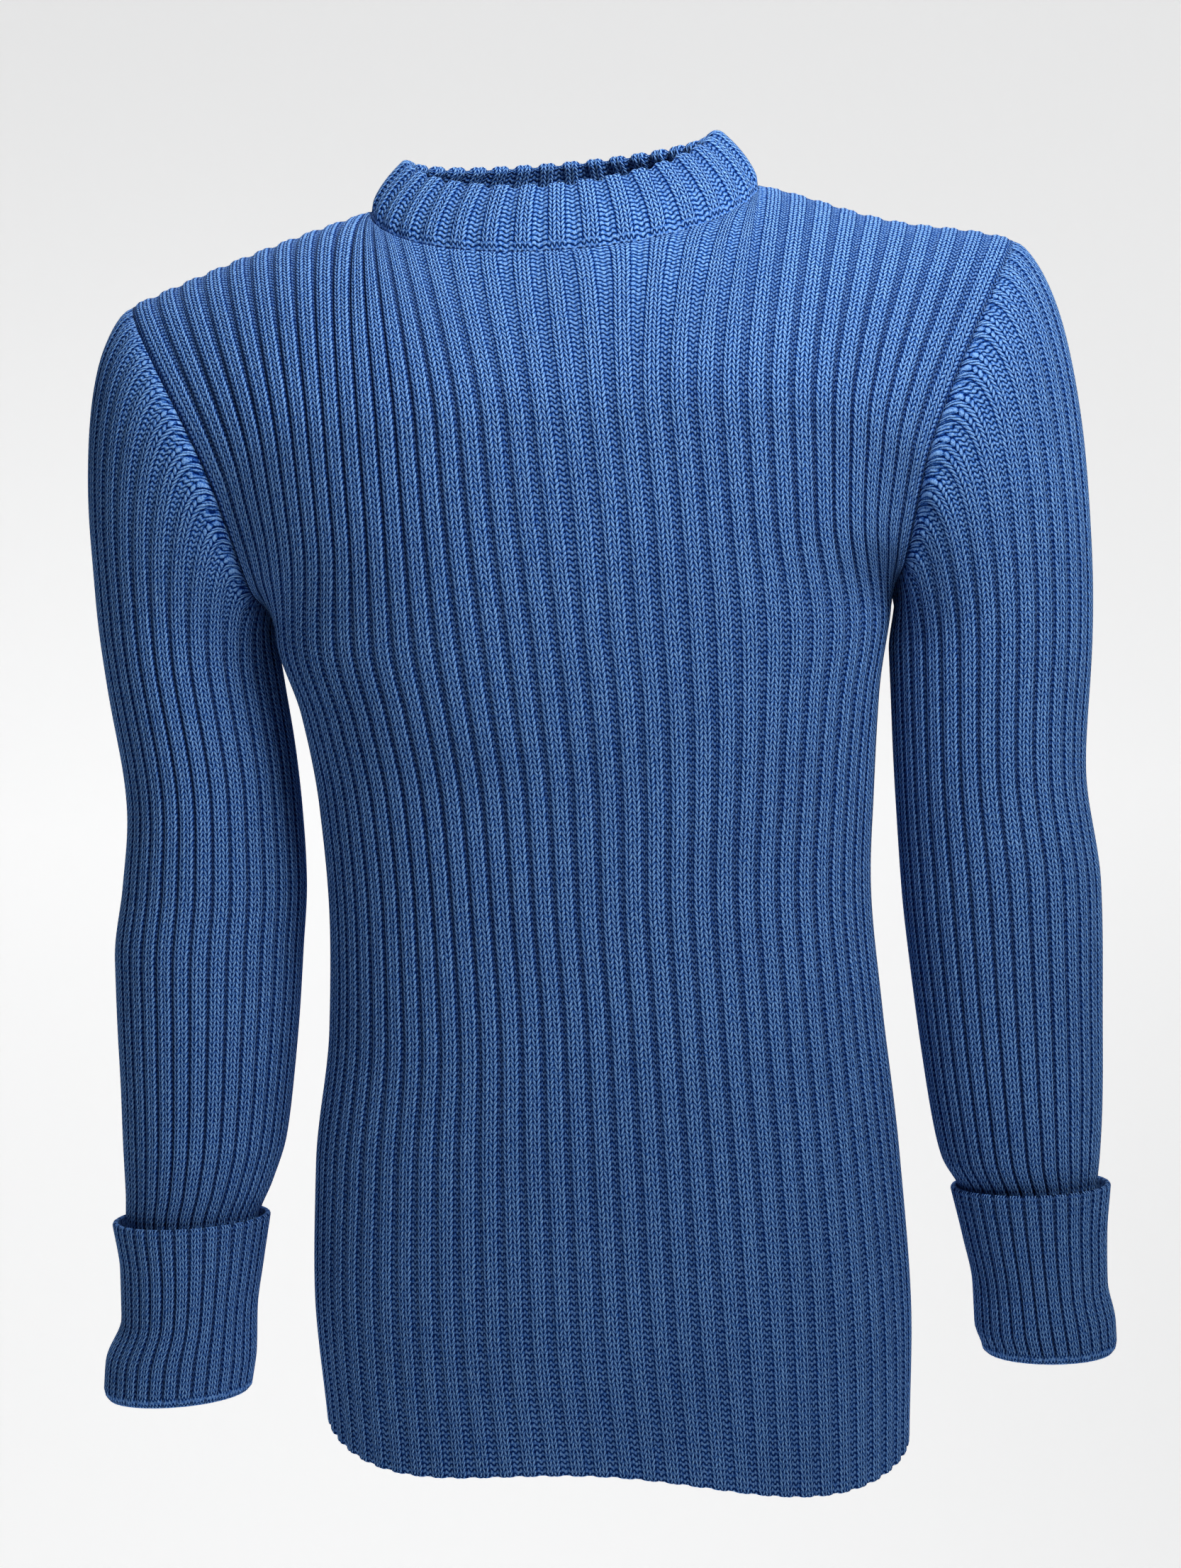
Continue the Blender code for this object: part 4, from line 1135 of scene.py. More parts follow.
@dataclass
class Neckband(Piece):
    """The doubled crew neckband, which stands on the neckline and is ribbed on all its faces."""

    ribs: int = 34
    rim_half: float = 0.085
    rim_front_y: float = -0.055
    rim_back_y: float = 0.060
    rim_side_z: float = 0.0337
    rim_tilt: float = 0.024
    rim_front_z: float = 0.0015
    rim_back_z: float = 0.038
    rim_dip: float = 1.2
    bulge: float = 0.0035
    top_level: float = 0.92
    stem_level: float = 0.3
    roll: float = 0.0060
    seam_flat: float = 0.85
    rows: int = 22
    rim_rows: int = 9

    def rim(self, turn: Array) -> Array:
        """The rim: an ellipse that is lowest in front.

        Args:
            turn: angles, 0 at the wearer's left and a quarter turn behind.

        Returns:
            Points of the rim.
        """
        sine = np.sin(turn)
        depth = np.where(sine < 0, -self.rim_front_y, self.rim_back_y)
        rise = np.where(sine < 0, self.rim_front_z, self.rim_back_z) - self.rim_side_z
        x = self.rim_half * np.cos(turn)
        z = self.rim_side_z + rise * np.abs(sine) ** self.rim_dip + self.rim_tilt * x
        return np.stack([x, depth * sine, z], axis=1)

    def surface(self, base: Array, levels: Array) -> Array:
        """The outside, straight from base to rim, plus a bulge of 4v(1 - v).

        Args:
            base: points of its lower edge.
            levels: v of each row, 0 at the base and 1 at the rim.

        Returns:
            The grid of points.
        """
        depth = np.where(base[:, 1] < 0, -NECK.front_y, NECK.back_y)
        turn = np.arctan2(base[:, 1] / depth, base[:, 0] / NECK.half)
        away = self.bulge * unit(np.stack([base[:, 0], base[:, 1], np.zeros(len(base))], axis=1))
        v = levels[:, None, None]
        return base + (self.rim(turn) - base) * v + away * 4.0 * v * (1.0 - v)

    def weave(self, front: BodyPanel, back: BodyPanel) -> dict:
        """Works out the band on the panels' neck seam.

        Args:
            front: the front panel, woven.
            back: the back panel, woven.

        Returns:
            The way out that each panel shares with the band, by side, for its neck columns.
        """
        behind = back.neck[-2:0:-1]
        line = np.concatenate([front.fabric.points[-1, front.neck], back.fabric.points[-1, behind]])
        ring = np.concatenate([line, line[:1]])
        along = lengths_along(ring)
        places = np.arange(self.ribs * BASE_STEPS) / (self.ribs * BASE_STEPS)
        distances = np.interp(places, (0.0, 0.5, 1.0), (0.0, along[len(front.neck) - 1], along[-1]))
        base = at_distances(ring, ring, distances)
        points = self.surface(base, np.linspace(0.0, self.top_level, self.rows + 1))
        self.fabric = Fabric.smooth(points, 1.0, wraps=True)
        stem = outward(self.surface(line, np.array((0.0, self.stem_level))), 1.0, wraps=True)[0]
        panels = np.concatenate([front.fabric.way_out[-1, front.neck], back.fabric.way_out[-1, behind]])
        shared = shared_way(panels, stem)
        close = np.arange(len(line) + 1) % len(line)
        way = unit(at_distances(ring, shared[close], distances))
        self.fabric.draw_in(grid_lengths(points, 0), way[None], sink=CLOTH.seam_sink, flat=self.seam_flat)
        up = np.zeros_like(points)
        up[0] = unit(points[1] - points[0]) * CLOTH.seam_gap
        self.fabric.inset = up
        middle = len(front.neck)
        back_order = np.concatenate([[middle - 1], np.arange(middle, len(line)), [0]])[::-1]
        return {Side.FRONT: shared[:middle], Side.BACK: shared[back_order]}

    def skin(self) -> Skin:
        """The band's shell: up the outside, over the round rim and down the inside, ribbed all the way.

        The wall is thicker by roll·s²·v² towards the wearer's left, where s is how far left and v how far up.

        Returns:
            The shell.
        """
        fabric = self.fabric.spread(self.ribs, BAND_RIB, wraps=True)
        skin = Skin(self.ribs)
        uv = fabric.uv()
        outside = fabric.outside()
        rows = [skin.row(points, places) for points, places in zip(outside, uv)]
        way, depth = fabric.way_out, fabric.depth[..., None]
        rise = unit(fabric.points[-1] - fabric.points[-2])
        toward_left = np.clip(fabric.points[-1, :, 0] / self.rim_half, 0.0, 1.0) ** 2
        wall = CLOTH.band_wall + self.roll * toward_left * np.linspace(0.0, 1.0, self.rows + 1)[:, None] ** 2
        wall = wall[..., None]
        centre = fabric.points[-1] - way[-1] * wall[-1] / 2
        radius = wall[-1] / 2 - depth[-1]
        for turn in np.linspace(0.0, np.pi, self.rim_rows + 2)[1:-1]:
            points = centre + (way[-1] * np.cos(turn) + rise * np.sin(turn)) * radius
            past = np.array((0.0, CLOTH.band_wall / 2 * turn / CLOTH.course, 0.0))
            rows.append(skin.row(points, uv[-1] + past))
        over = np.pi * CLOTH.band_wall / 2 / CLOTH.course
        inside = fabric.points + fabric.inset - way * (wall - depth)
        for i in range(len(inside) - 1, -1, -1):
            places = uv[i].copy()
            places[:, 1] = 2 * uv[-1, :, 1] + over - places[:, 1]
            rows.append(skin.row(inside[i], places))
        skin.loop(rows, wraps=True)
        return skin


@dataclass
class Cuff(Piece):
    """A cuff folded back on itself: an outside layer with a free upper edge, a fold, and a layer under it.

    edge_walls says where the rows round the free edge lie: how far in and how far up, in walls.
    """

    arm: Arm
    rings: tuple
    sleeve_end: Ring
    ribs: int = 32
    outer_rows: int = 30
    inner_step: int = 2
    back_step: int = 4
    fold_drop: float = 0.006
    fold_turns: tuple = (35.0, 70.0, 110.0, 145.0)
    fold_courses: float = 4.0
    edge_walls: tuple = ((0.15, 0.35), (0.50, 0.45), (0.90, 0.30))
    edge_courses: float = 0.5
    layer_gap: float = 0.0015
    end_clear: float = 0.004
    rib: RibProfile = field(default_factory=lambda: RibProfile(pair=0.0066, closed_depth=0.0018))

    def skin(self) -> Skin:
        """The cuff's shell: down the outside, round the fold, up the inside, and back between the layers.

        Returns:
            The shell.
        """
        flip = np.array([float(self.arm.value), 1.0, 1.0])
        columns = self.ribs * BASE_STEPS
        turn = np.pi - 2.0 * np.pi * np.arange(columns) / columns
        rings = np.array([Sleeve.ring_points(ring, turn) for ring in self.rings])
        knots = np.array([self.rings[0].z - ring.z for ring in self.rings])
        smooth = smooth_through(knots, rings, np.linspace(0.0, knots[-1], self.outer_rows + 1))
        fabric = Fabric.smooth(smooth[::-1], 1.0, wraps=True).spread(self.ribs, self.rib, wraps=True)
        skin = Skin(self.ribs)
        downwards = list(zip(fabric.outside(), fabric.uv()))[::-1]
        rows = [*self.free_edge(fabric), *downwards, *self.fold(fabric), *self.layers_within(fabric)]
        skin.loop([skin.row(points * flip, places) for points, places in rows], wraps=True)
        return skin

    def free_edge(self, fabric: Fabric) -> list:
        """Rows round the free upper edge, from its inner side outwards.

        Args:
            fabric: the outside layer, spread.

        Returns:
            For each row its points and their places in the pattern.
        """
        way = unit(fabric.way_out[-1])
        wall = CLOTH.fold_wall
        starts = (fabric.outside()[-1], fabric.points[-1], fabric.points[-1])
        places = fabric.uv()[-1] + np.array((0.0, self.edge_courses, 0.0))
        rows = []
        for start, (inwards, upwards) in zip(starts, self.edge_walls):
            rows.append((start - way * wall * inwards + UP * wall * upwards, places))
        return rows[::-1]

    def fold(self, fabric: Fabric) -> list:
        """Rows round the fold, from the outside inwards: a half ellipse as thick as both layers.

        Args:
            fabric: the outside layer, spread.

        Returns:
            For each row its points and their places in the pattern.
        """
        both = 2 * CLOTH.fold_wall + self.layer_gap
        way, places = fabric.way_out[0], fabric.uv()[0]
        bottom = fabric.points[0] - way * (both / 2)
        rows = []
        for angle in np.radians(self.fold_turns):
            reach = both / 2 - fabric.depth[0, :, None] * max(np.cos(angle), 0.0)
            points = bottom + way * reach * np.cos(angle) - UP * self.fold_drop * np.sin(angle)
            rows.append((points, places - np.array((0.0, self.fold_courses * angle / np.pi, 0.0))))
        return rows

    def layers_within(self, fabric: Fabric) -> list:
        """Rows behind the outside: up the inside to the sleeve's end, down to the crease, and up again.

        Args:
            fabric: the outside layer, spread.

        Returns:
            For each row its points and their places in the pattern, on the coarser columns of an inside.
        """
        uv, wall, gap = fabric.uv(), CLOTH.fold_wall, self.layer_gap
        depths = (2 * wall + gap, wall + gap, wall)
        inside, under, back = (fabric.points - fabric.way_out * depth for depth in depths)
        crease = fabric.points[0] - fabric.way_out[0] * (wall + gap / 2)
        end = self.sleeve_end._replace(z=self.sleeve_end.z - CLOTH.seam_gap)
        inner_end = end._replace(half_x=end.half_x - CLOTH.wall, half_y=end.half_y - CLOTH.wall)
        low = inside[:: self.inner_step, 0, 2] < end.z - self.end_clear
        picked = np.arange(0, self.outer_rows + 1, self.inner_step)[low]
        last = self.rings[-1]
        x, y = fabric.points[0, :, 0] - last.centre_x, fabric.points[0, :, 1] - last.centre_y
        turn = np.arctan2(-y / last.half_y, x / last.half_x)
        rows = [(inside[i], uv[i]) for i in picked]
        rows += [(Sleeve.ring_points(ring, turn), uv[0]) for ring in (inner_end, end)]
        rows += [(under[i], uv[i]) for i in picked[:0:-1]]
        rows.append((crease, uv[0]))
        rows += [(back[i], uv[i]) for i in range(self.back_step // 2, self.outer_rows + 1, self.back_step)]
        return [(points[::COLUMN_RATIO], places[::COLUMN_RATIO]) for points, places in rows]


SLEEVE_LEFT = (
    Ring(-0.250, 0.2180, 0.000, 0.0535, 0.0560),
    Ring(-0.320, 0.2150, 0.000, 0.0510, 0.0545),
    Ring(-0.380, 0.2182, -0.001, 0.0533, 0.0540),
    Ring(-0.440, 0.2190, -0.003, 0.0500, 0.0515),
    Ring(-0.500, 0.2205, -0.007, 0.0448, 0.0475),
    Ring(-0.522, 0.2215, -0.009, 0.0415, 0.0440),
    Ring(-0.540, 0.2250, -0.010, 0.0355, 0.0390),
    Ring(-0.565, 0.2270, -0.012, 0.0315, 0.0355),
)
SLEEVE_RIGHT = (
    Ring(-0.250, 0.2140, 0.000, 0.0480, 0.0550),
    Ring(-0.320, 0.2068, 0.000, 0.0475, 0.0530),
    Ring(-0.360, 0.2085, 0.000, 0.0500, 0.0530),
    Ring(-0.400, 0.2125, -0.002, 0.0512, 0.0525),
    Ring(-0.440, 0.2145, -0.003, 0.0490, 0.0510),
    Ring(-0.500, 0.2180, -0.007, 0.0440, 0.0470),
    Ring(-0.524, 0.2220, -0.009, 0.0395, 0.0430),
    Ring(-0.542, 0.2265, -0.010, 0.0355, 0.0390),
    Ring(-0.565, 0.2272, -0.012, 0.0320, 0.0360),
)
CUFF_LEFT = (
    Ring(-0.5390, 0.2260, -0.010, 0.0422, 0.0465),
    Ring(-0.5650, 0.2270, -0.012, 0.0380, 0.0425),
    Ring(-0.5900, 0.2285, -0.014, 0.0355, 0.0400),
    Ring(-0.6100, 0.2300, -0.016, 0.0370, 0.0415),
    Ring(-0.6200, 0.2315, -0.017, 0.0355, 0.0390),
)
CUFF_RIGHT = (
    Ring(-0.5420, 0.2270, -0.010, 0.0425, 0.0465),
    Ring(-0.5670, 0.2275, -0.012, 0.0385, 0.0430),
    Ring(-0.5920, 0.2295, -0.014, 0.0365, 0.0405),
    Ring(-0.6140, 0.2345, -0.016, 0.0405, 0.0425),
    Ring(-0.6290, 0.2365, -0.017, 0.0400, 0.0410),
)


@dataclass(frozen=True)
class KnitFinish:
    """The colours and relief of one kind of wool rib, all linear.

    The thread's height, with fuzz on it, turns the gap colour into the strand colour over strand_from, and
    that into the colour of the threads' tops over the range above it. The gap colour is painted shade in the
    holes between the yarns, the colour of the tops a painted highlight, and the strand colour the wool's mid
    blue. Gutters are painted darker, as shade, by closed_shade less open_shade times how open they are.
    Patches are darker by patch, at random.
    """

    name: str
    # painted highlight: the colour of the threads' tops, lighter than the wool
    crest_highlight: tuple
    strand: tuple
    # painted shade in the holes between the yarns and in the gutters; the random darker patches also mix
    # towards it
    gap: tuple
    strand_from: tuple = (0.28, 0.72)
    # range of thread height over which the painted highlight comes in
    highlight_from: tuple = (0.62, 1.10)
    relief: float = 0.0012
    fuzz: float = 1.1
    # painted shade of the gutters: closed_shade less open_shade times how open they are
    closed_shade: float = 0.72
    open_shade: float = 0.70
    patch: float = 0.10
    patch_scale: float = 22.0
    patch_from: tuple = (0.3, 0.7)
    roughness: float = 0.92
    specular: float = 0.01
    sheen: float = 0.01
    sheen_roughness: float = 0.5
    sheen_tint: tuple = (0.55, 0.72, 1.0)
    linked_courses: float = 0.0


class Graph:
    """Short calls that add nodes to one node tree."""

    def __init__(self, tree: bpy.types.NodeTree) -> None:
        """Keeps the tree."""
        self.tree = tree

    def node(self, kind: str, **settings: object) -> bpy.types.Node:
        """Adds a node.

        Args:
            kind: the name of its type in Blender.
            settings: its properties.

        Returns:
            The node.
        """
        made = self.tree.nodes.new(kind)
        for name, value in settings.items():
            setattr(made, name, value)
        return made

    def feed(self, socket: Socket, value: Value) -> None:
        """Links an input to an output, or gives it a plain value.

        Args:
            socket: the input.
            value: the output or the value.
        """
        if isinstance(value, bpy.types.NodeSocket):
            self.tree.links.new(value, socket)
        else:
            socket.default_value = value

    def math(self, operation: str, *values: Value, clamp: bool = False) -> Socket:
        """Adds a Math node.

        Args:
            operation: its name in Blender.
            values: numbers or sockets for its inputs.
            clamp: keeps what it puts out between 0 and 1.

        Returns:
            What it puts out.
        """
        made = self.node("ShaderNodeMath", operation=operation, use_clamp=clamp)
        for socket, value in zip(made.inputs, values):
            self.feed(socket, value)
        return made.outputs[0]

    def add(self, first: Value, second: Value) -> Socket:
        """first + second."""
        return self.math("ADD", first, second)

    def minus(self, first: Value, second: Value) -> Socket:
        """first - second."""
        return self.math("SUBTRACT", first, second)

    def times(self, first: Value, second: Value) -> Socket:
        """first · second."""
        return self.math("MULTIPLY", first, second)

    def power(self, base: Value, exponent: Value) -> Socket:
        """base ^ exponent."""
        return self.math("POWER", base, exponent)

    def mix(self, share: Value, first: Value, second: Value) -> Socket:
        """Mixes two colours.

        Args:
            share: how much of the second there is, from 0 to 1.
            first: a colour of three numbers, or a socket.
            second: another.

        Returns:
            The mixed colour.
        """
        made = self.node("ShaderNodeMix", data_type="RGBA")
        self.feed(made.inputs["Factor"], share)
        for name, value in (("A", first), ("B", second)):
            socket = next(s for s in made.inputs if s.name == name and s.type == "RGBA")
            self.feed(socket, (*value, 1.0) if isinstance(value, tuple) else value)
        return next(s for s in made.outputs if s.type == "RGBA")

    def between(self, value: Value, low: float, high: float) -> Socket:
        """Adds a smooth step.

        Args:
            value: what it is taken of.
            low: where it starts to rise from 0.
            high: where it reaches 1.

        Returns:
            The step.
        """
        made = self.node("ShaderNodeMapRange", interpolation_type="SMOOTHSTEP")
        self.feed(made.inputs["Value"], value)
        made.inputs["From Min"].default_value = low
        made.inputs["From Max"].default_value = high
        return made.outputs["Result"]

    def noise(self, vector: Value, scale: float, detail: float = 2.0) -> Socket:
        """Adds noise about 0.5.

        Args:
            vector: where it is read.
            scale: waves to each unit of the vector.
            detail: octaves.

        Returns:
            The noise.
        """
        made = self.node("ShaderNodeTexNoise")
        self.feed(made.inputs["Vector"], vector)
        made.inputs["Scale"].default_value = scale
        made.inputs["Detail"].default_value = detail
        return made.outputs["Fac"]

    def wobble(self, vector: Value, scale: float, size: float) -> Socket:
        """Noise about 0: (noise - 0.5) · size."""
        return self.times(self.minus(self.noise(vector, scale), 0.5), size)

    def arch(self, share: Value) -> Socket:
        """A round arch over 0 to 1: 4s(1 - s)."""
        return self.math("MULTIPLY", self.times(share, self.minus(1.0, share)), 4.0, clamp=True)


@dataclass
class RibStitches:
    """The shader group that draws the stitches of a two-by-two rib.

    Across a rib, g = |fract(u) - 1/2| is 0 at its middle and 1/2 in the gutter. The knit column fills g from
    0 to wale, and a, from -1 to 1, is the place across it. A leg of its V lies where fract(v - climb·|a|) is
    near 1/2, as round as arch^leg_power, and arch(|a|)^side_power lifts the middle of each leg by side_share.
    Where both arches are low there is a hole. In the gutter the purl loops are rows where
    fract(v + wave·cos(2·pi·loops·u)) is near 1/2. wander, uneven and sideways are the scale and the size of
    the noise that moves the stitches.
    """

    wale: float = 0.335
    climb: float = 1.20
    leg_power: float = 0.26
    side_power: float = 0.45
    side_share: float = 0.70
    hole: tuple = (0.10, 0.50)
    wave: float = 0.24
    loops: float = 5.0
    bead: float = 0.25
    purl_power: float = 0.55
    gutter_edge: tuple = (-0.01, 0.02)
    linked_edge: tuple = (-0.25, 0.15)
    wander: tuple = (55.0, 0.45)
    uneven: tuple = (330.0, 0.50)
    sideways: tuple = (260.0, 0.07)
    fuzz_scale: float = 1100.0
    fuzz_height: float = 0.40
    group: Optional[bpy.types.NodeTree] = None

    def build(self) -> bpy.types.NodeTree:
        """Makes the group: UV, Place and Linked in, and Height, Gutter, Thread and Fuzz out.

        Returns:
            The node group.
        """
        tree = bpy.data.node_groups.new("rib_stitches", "ShaderNodeTree")
        face = tree.interface
        face.new_socket("UV", in_out="INPUT", socket_type="NodeSocketVector")
        face.new_socket("Place", in_out="INPUT", socket_type="NodeSocketVector")
        face.new_socket("Linked", in_out="INPUT", socket_type="NodeSocketFloat")
        for name in ("Height", "Gutter", "Thread", "Fuzz"):
            face.new_socket(name, in_out="OUTPUT", socket_type="NodeSocketFloat")
        g = Graph(tree)
        given = g.node("NodeGroupInput").outputs
        place = given["Place"]
        split = g.node("ShaderNodeSeparateXYZ")
        g.feed(split.inputs[0], given["UV"])
        u = g.add(split.outputs[0], g.wobble(place, *self.sideways))
        v = g.add(g.add(split.outputs[1], g.wobble(place, *self.wander)), g.wobble(place, *self.uneven))
        middle = g.math("ABSOLUTE", g.minus(g.math("FRACT", u), 0.5))
        knit, purl = self.knit(g, middle, v), self.purl(g, u, v)
        gutter = g.between(middle, self.wale + self.gutter_edge[0], self.wale + self.gutter_edge[1])
        linked = g.minus(1.0, g.between(g.minus(v, given["Linked"]), *self.linked_edge))
        purl_here = g.math("MAXIMUM", gutter, linked)
        thread = g.add(g.times(knit, g.minus(1.0, purl_here)), g.times(purl, purl_here))
        fuzz = g.noise(place, self.fuzz_scale, 3.0)
        out = g.node("NodeGroupOutput")
        g.feed(out.inputs["Height"], g.add(thread, g.times(g.minus(fuzz, 0.5), self.fuzz_height)))
        g.feed(out.inputs["Gutter"], g.times(gutter, g.minus(1.0, linked)))
        g.feed(out.inputs["Thread"], thread)
        g.feed(out.inputs["Fuzz"], fuzz)
        self.group = tree
        return tree

    def knit(self, g: Graph, middle: Socket, v: Socket) -> Socket:
        """The V stitches of the two columns.

        Args:
            g: the group's graph.
            middle: distance from the rib's middle, in ribs.
            v: place along the rib, in courses.

        Returns:
            The thread's height, from 0 to 1.
        """
        across = g.math("DIVIDE", g.minus(middle, self.wale / 2), self.wale / 2)
        side = g.math("MINIMUM", g.math("ABSOLUTE", across), 1.0)
        leg = g.math("FRACT", g.minus(v, g.times(side, self.climb)))
        leg_arch, side_arch = g.arch(leg), g.arch(side)
        lifted = g.times(g.power(side_arch, self.side_power), self.side_share)
        legs = g.times(g.power(leg_arch, self.leg_power), g.add(lifted, 1.0 - self.side_share))
        hole = g.between(g.times(g.minus(1.0, leg_arch), g.minus(1.0, side_arch)), *self.hole)
        return g.times(legs, g.minus(1.0, hole))

    def purl(self, g: Graph, u: Socket, v: Socket) -> Socket:
        """The rows of purl loops that show in a gutter.

        Args:
            g: the group's graph.
            u: place across, in ribs.
            v: place along, in courses.

        Returns:
            The thread's height, from 0 to 1.
        """
        turn = g.math("COSINE", g.times(u, 2.0 * np.pi * self.loops))
        loop = g.math("FRACT", g.add(v, g.times(turn, self.wave)))
        bead = g.add(g.times(g.math("ABSOLUTE", turn), self.bead), 1.0 - self.bead)
        return g.times(g.power(g.arch(loop), self.purl_power), bead)

    def material(self, finish: KnitFinish) -> bpy.types.Material:
        """Makes a wool material from a finish.

        Args:
            finish: its colours and relief.

        Returns:
            The material.
        """
        made = bpy.data.materials.new(finish.name)
        made.use_nodes = True
        tree = made.node_tree
        g = Graph(tree)
        place = g.node("ShaderNodeTexCoord").outputs["Object"]
        stitches = g.node("ShaderNodeGroup", node_tree=self.group)
        g.feed(stitches.inputs["UV"], g.node("ShaderNodeUVMap", uv_map="knit").outputs[0])
        g.feed(stitches.inputs["Place"], place)
        stitches.inputs["Linked"].default_value = finish.linked_courses
        thread, fuzz = stitches.outputs["Thread"], stitches.outputs["Fuzz"]
        opened = g.node("ShaderNodeAttribute", attribute_name="opened").outputs["Fac"]
        fibre = g.add(thread, g.times(g.minus(fuzz, 0.5), finish.fuzz))
        # Painted shade where the thread is low, in the holes between the yarns, turning into the wool's mid
        # blue higher up.
        colour = g.mix(g.between(fibre, *finish.strand_from), finish.gap, finish.strand)
        # Painted highlight on the threads' tops, where the thread is highest.
        colour = g.mix(g.between(fibre, *finish.highlight_from), colour, finish.crest_highlight)
        # Painted shade in the gutters, deeper where they are closed.
        shade = g.minus(finish.closed_shade, g.times(opened, finish.open_shade))
        colour = g.mix(g.math("MULTIPLY", stitches.outputs["Gutter"], shade, clamp=True), colour, finish.gap)
        # Random darker patches of the wool, mixed towards the same dark colour.
        patchy = g.between(g.noise(place, finish.patch_scale, 3.0), *finish.patch_from)
        colour = g.mix(g.times(patchy, finish.patch), colour, finish.gap)
        bump = g.node("ShaderNodeBump")
        bump.inputs["Strength"].default_value = 1.0
        bump.inputs["Distance"].default_value = finish.relief
        g.feed(bump.inputs["Height"], stitches.outputs["Height"])
        shader = tree.nodes["Principled BSDF"]
        g.feed(shader.inputs["Base Color"], colour)
        g.feed(shader.inputs["Normal"], bump.outputs["Normal"])
        shader.inputs["Roughness"].default_value = finish.roughness
        shader.inputs["Specular IOR Level"].default_value = finish.specular
        shader.inputs["Sheen Weight"].default_value = finish.sheen
        shader.inputs["Sheen Roughness"].default_value = finish.sheen_roughness
        shader.inputs["Sheen Tint"].default_value = (*finish.sheen_tint, 1.0)
        return made


@dataclass(frozen=True)
class PaperFinish:
    """The backdrop's pale paper, which glows so that it shows nearly white."""

    name: str = "pale_paper"
    colour: tuple = (0.93, 0.93, 0.93, 1.0)
    roughness: float = 0.9
    glow_colour: tuple = (1.0, 1.0, 1.0, 1.0)
    glow: float = 0.58

    def material(self) -> bpy.types.Material:
        """Makes the material.

        Returns:
            The material.
        """
        made = bpy.data.materials.new(self.name)
        made.use_nodes = True
        shader = made.node_tree.nodes["Principled BSDF"]
        shader.inputs["Base Color"].default_value = self.colour
        shader.inputs["Roughness"].default_value = self.roughness
        shader.inputs["Emission Color"].default_value = self.glow_colour
        shader.inputs["Emission Strength"].default_value = self.glow
        return made


class Lamp(NamedTuple):
    """A square area light: where it stands and what it points at, its side in metres, power and spread."""

    name: str
    place: tuple
    target: tuple
    size: float
    watts: float
    spread: float


LAMPS = (
    Lamp("key", (0.50, -0.62, 0.70), (0.02, 0.10, 0.02), 0.6, 4.9, 80.0),
    Lamp("fill", (-2.0, -1.8, 0.8), (0.0, 0.0, -0.30), 1.4, 0.9, 90.0),
    Lamp("behind", (-0.5, 1.4, 1.5), (0.0, 0.0, -0.20), 0.9, 8.0, 80.0),
)


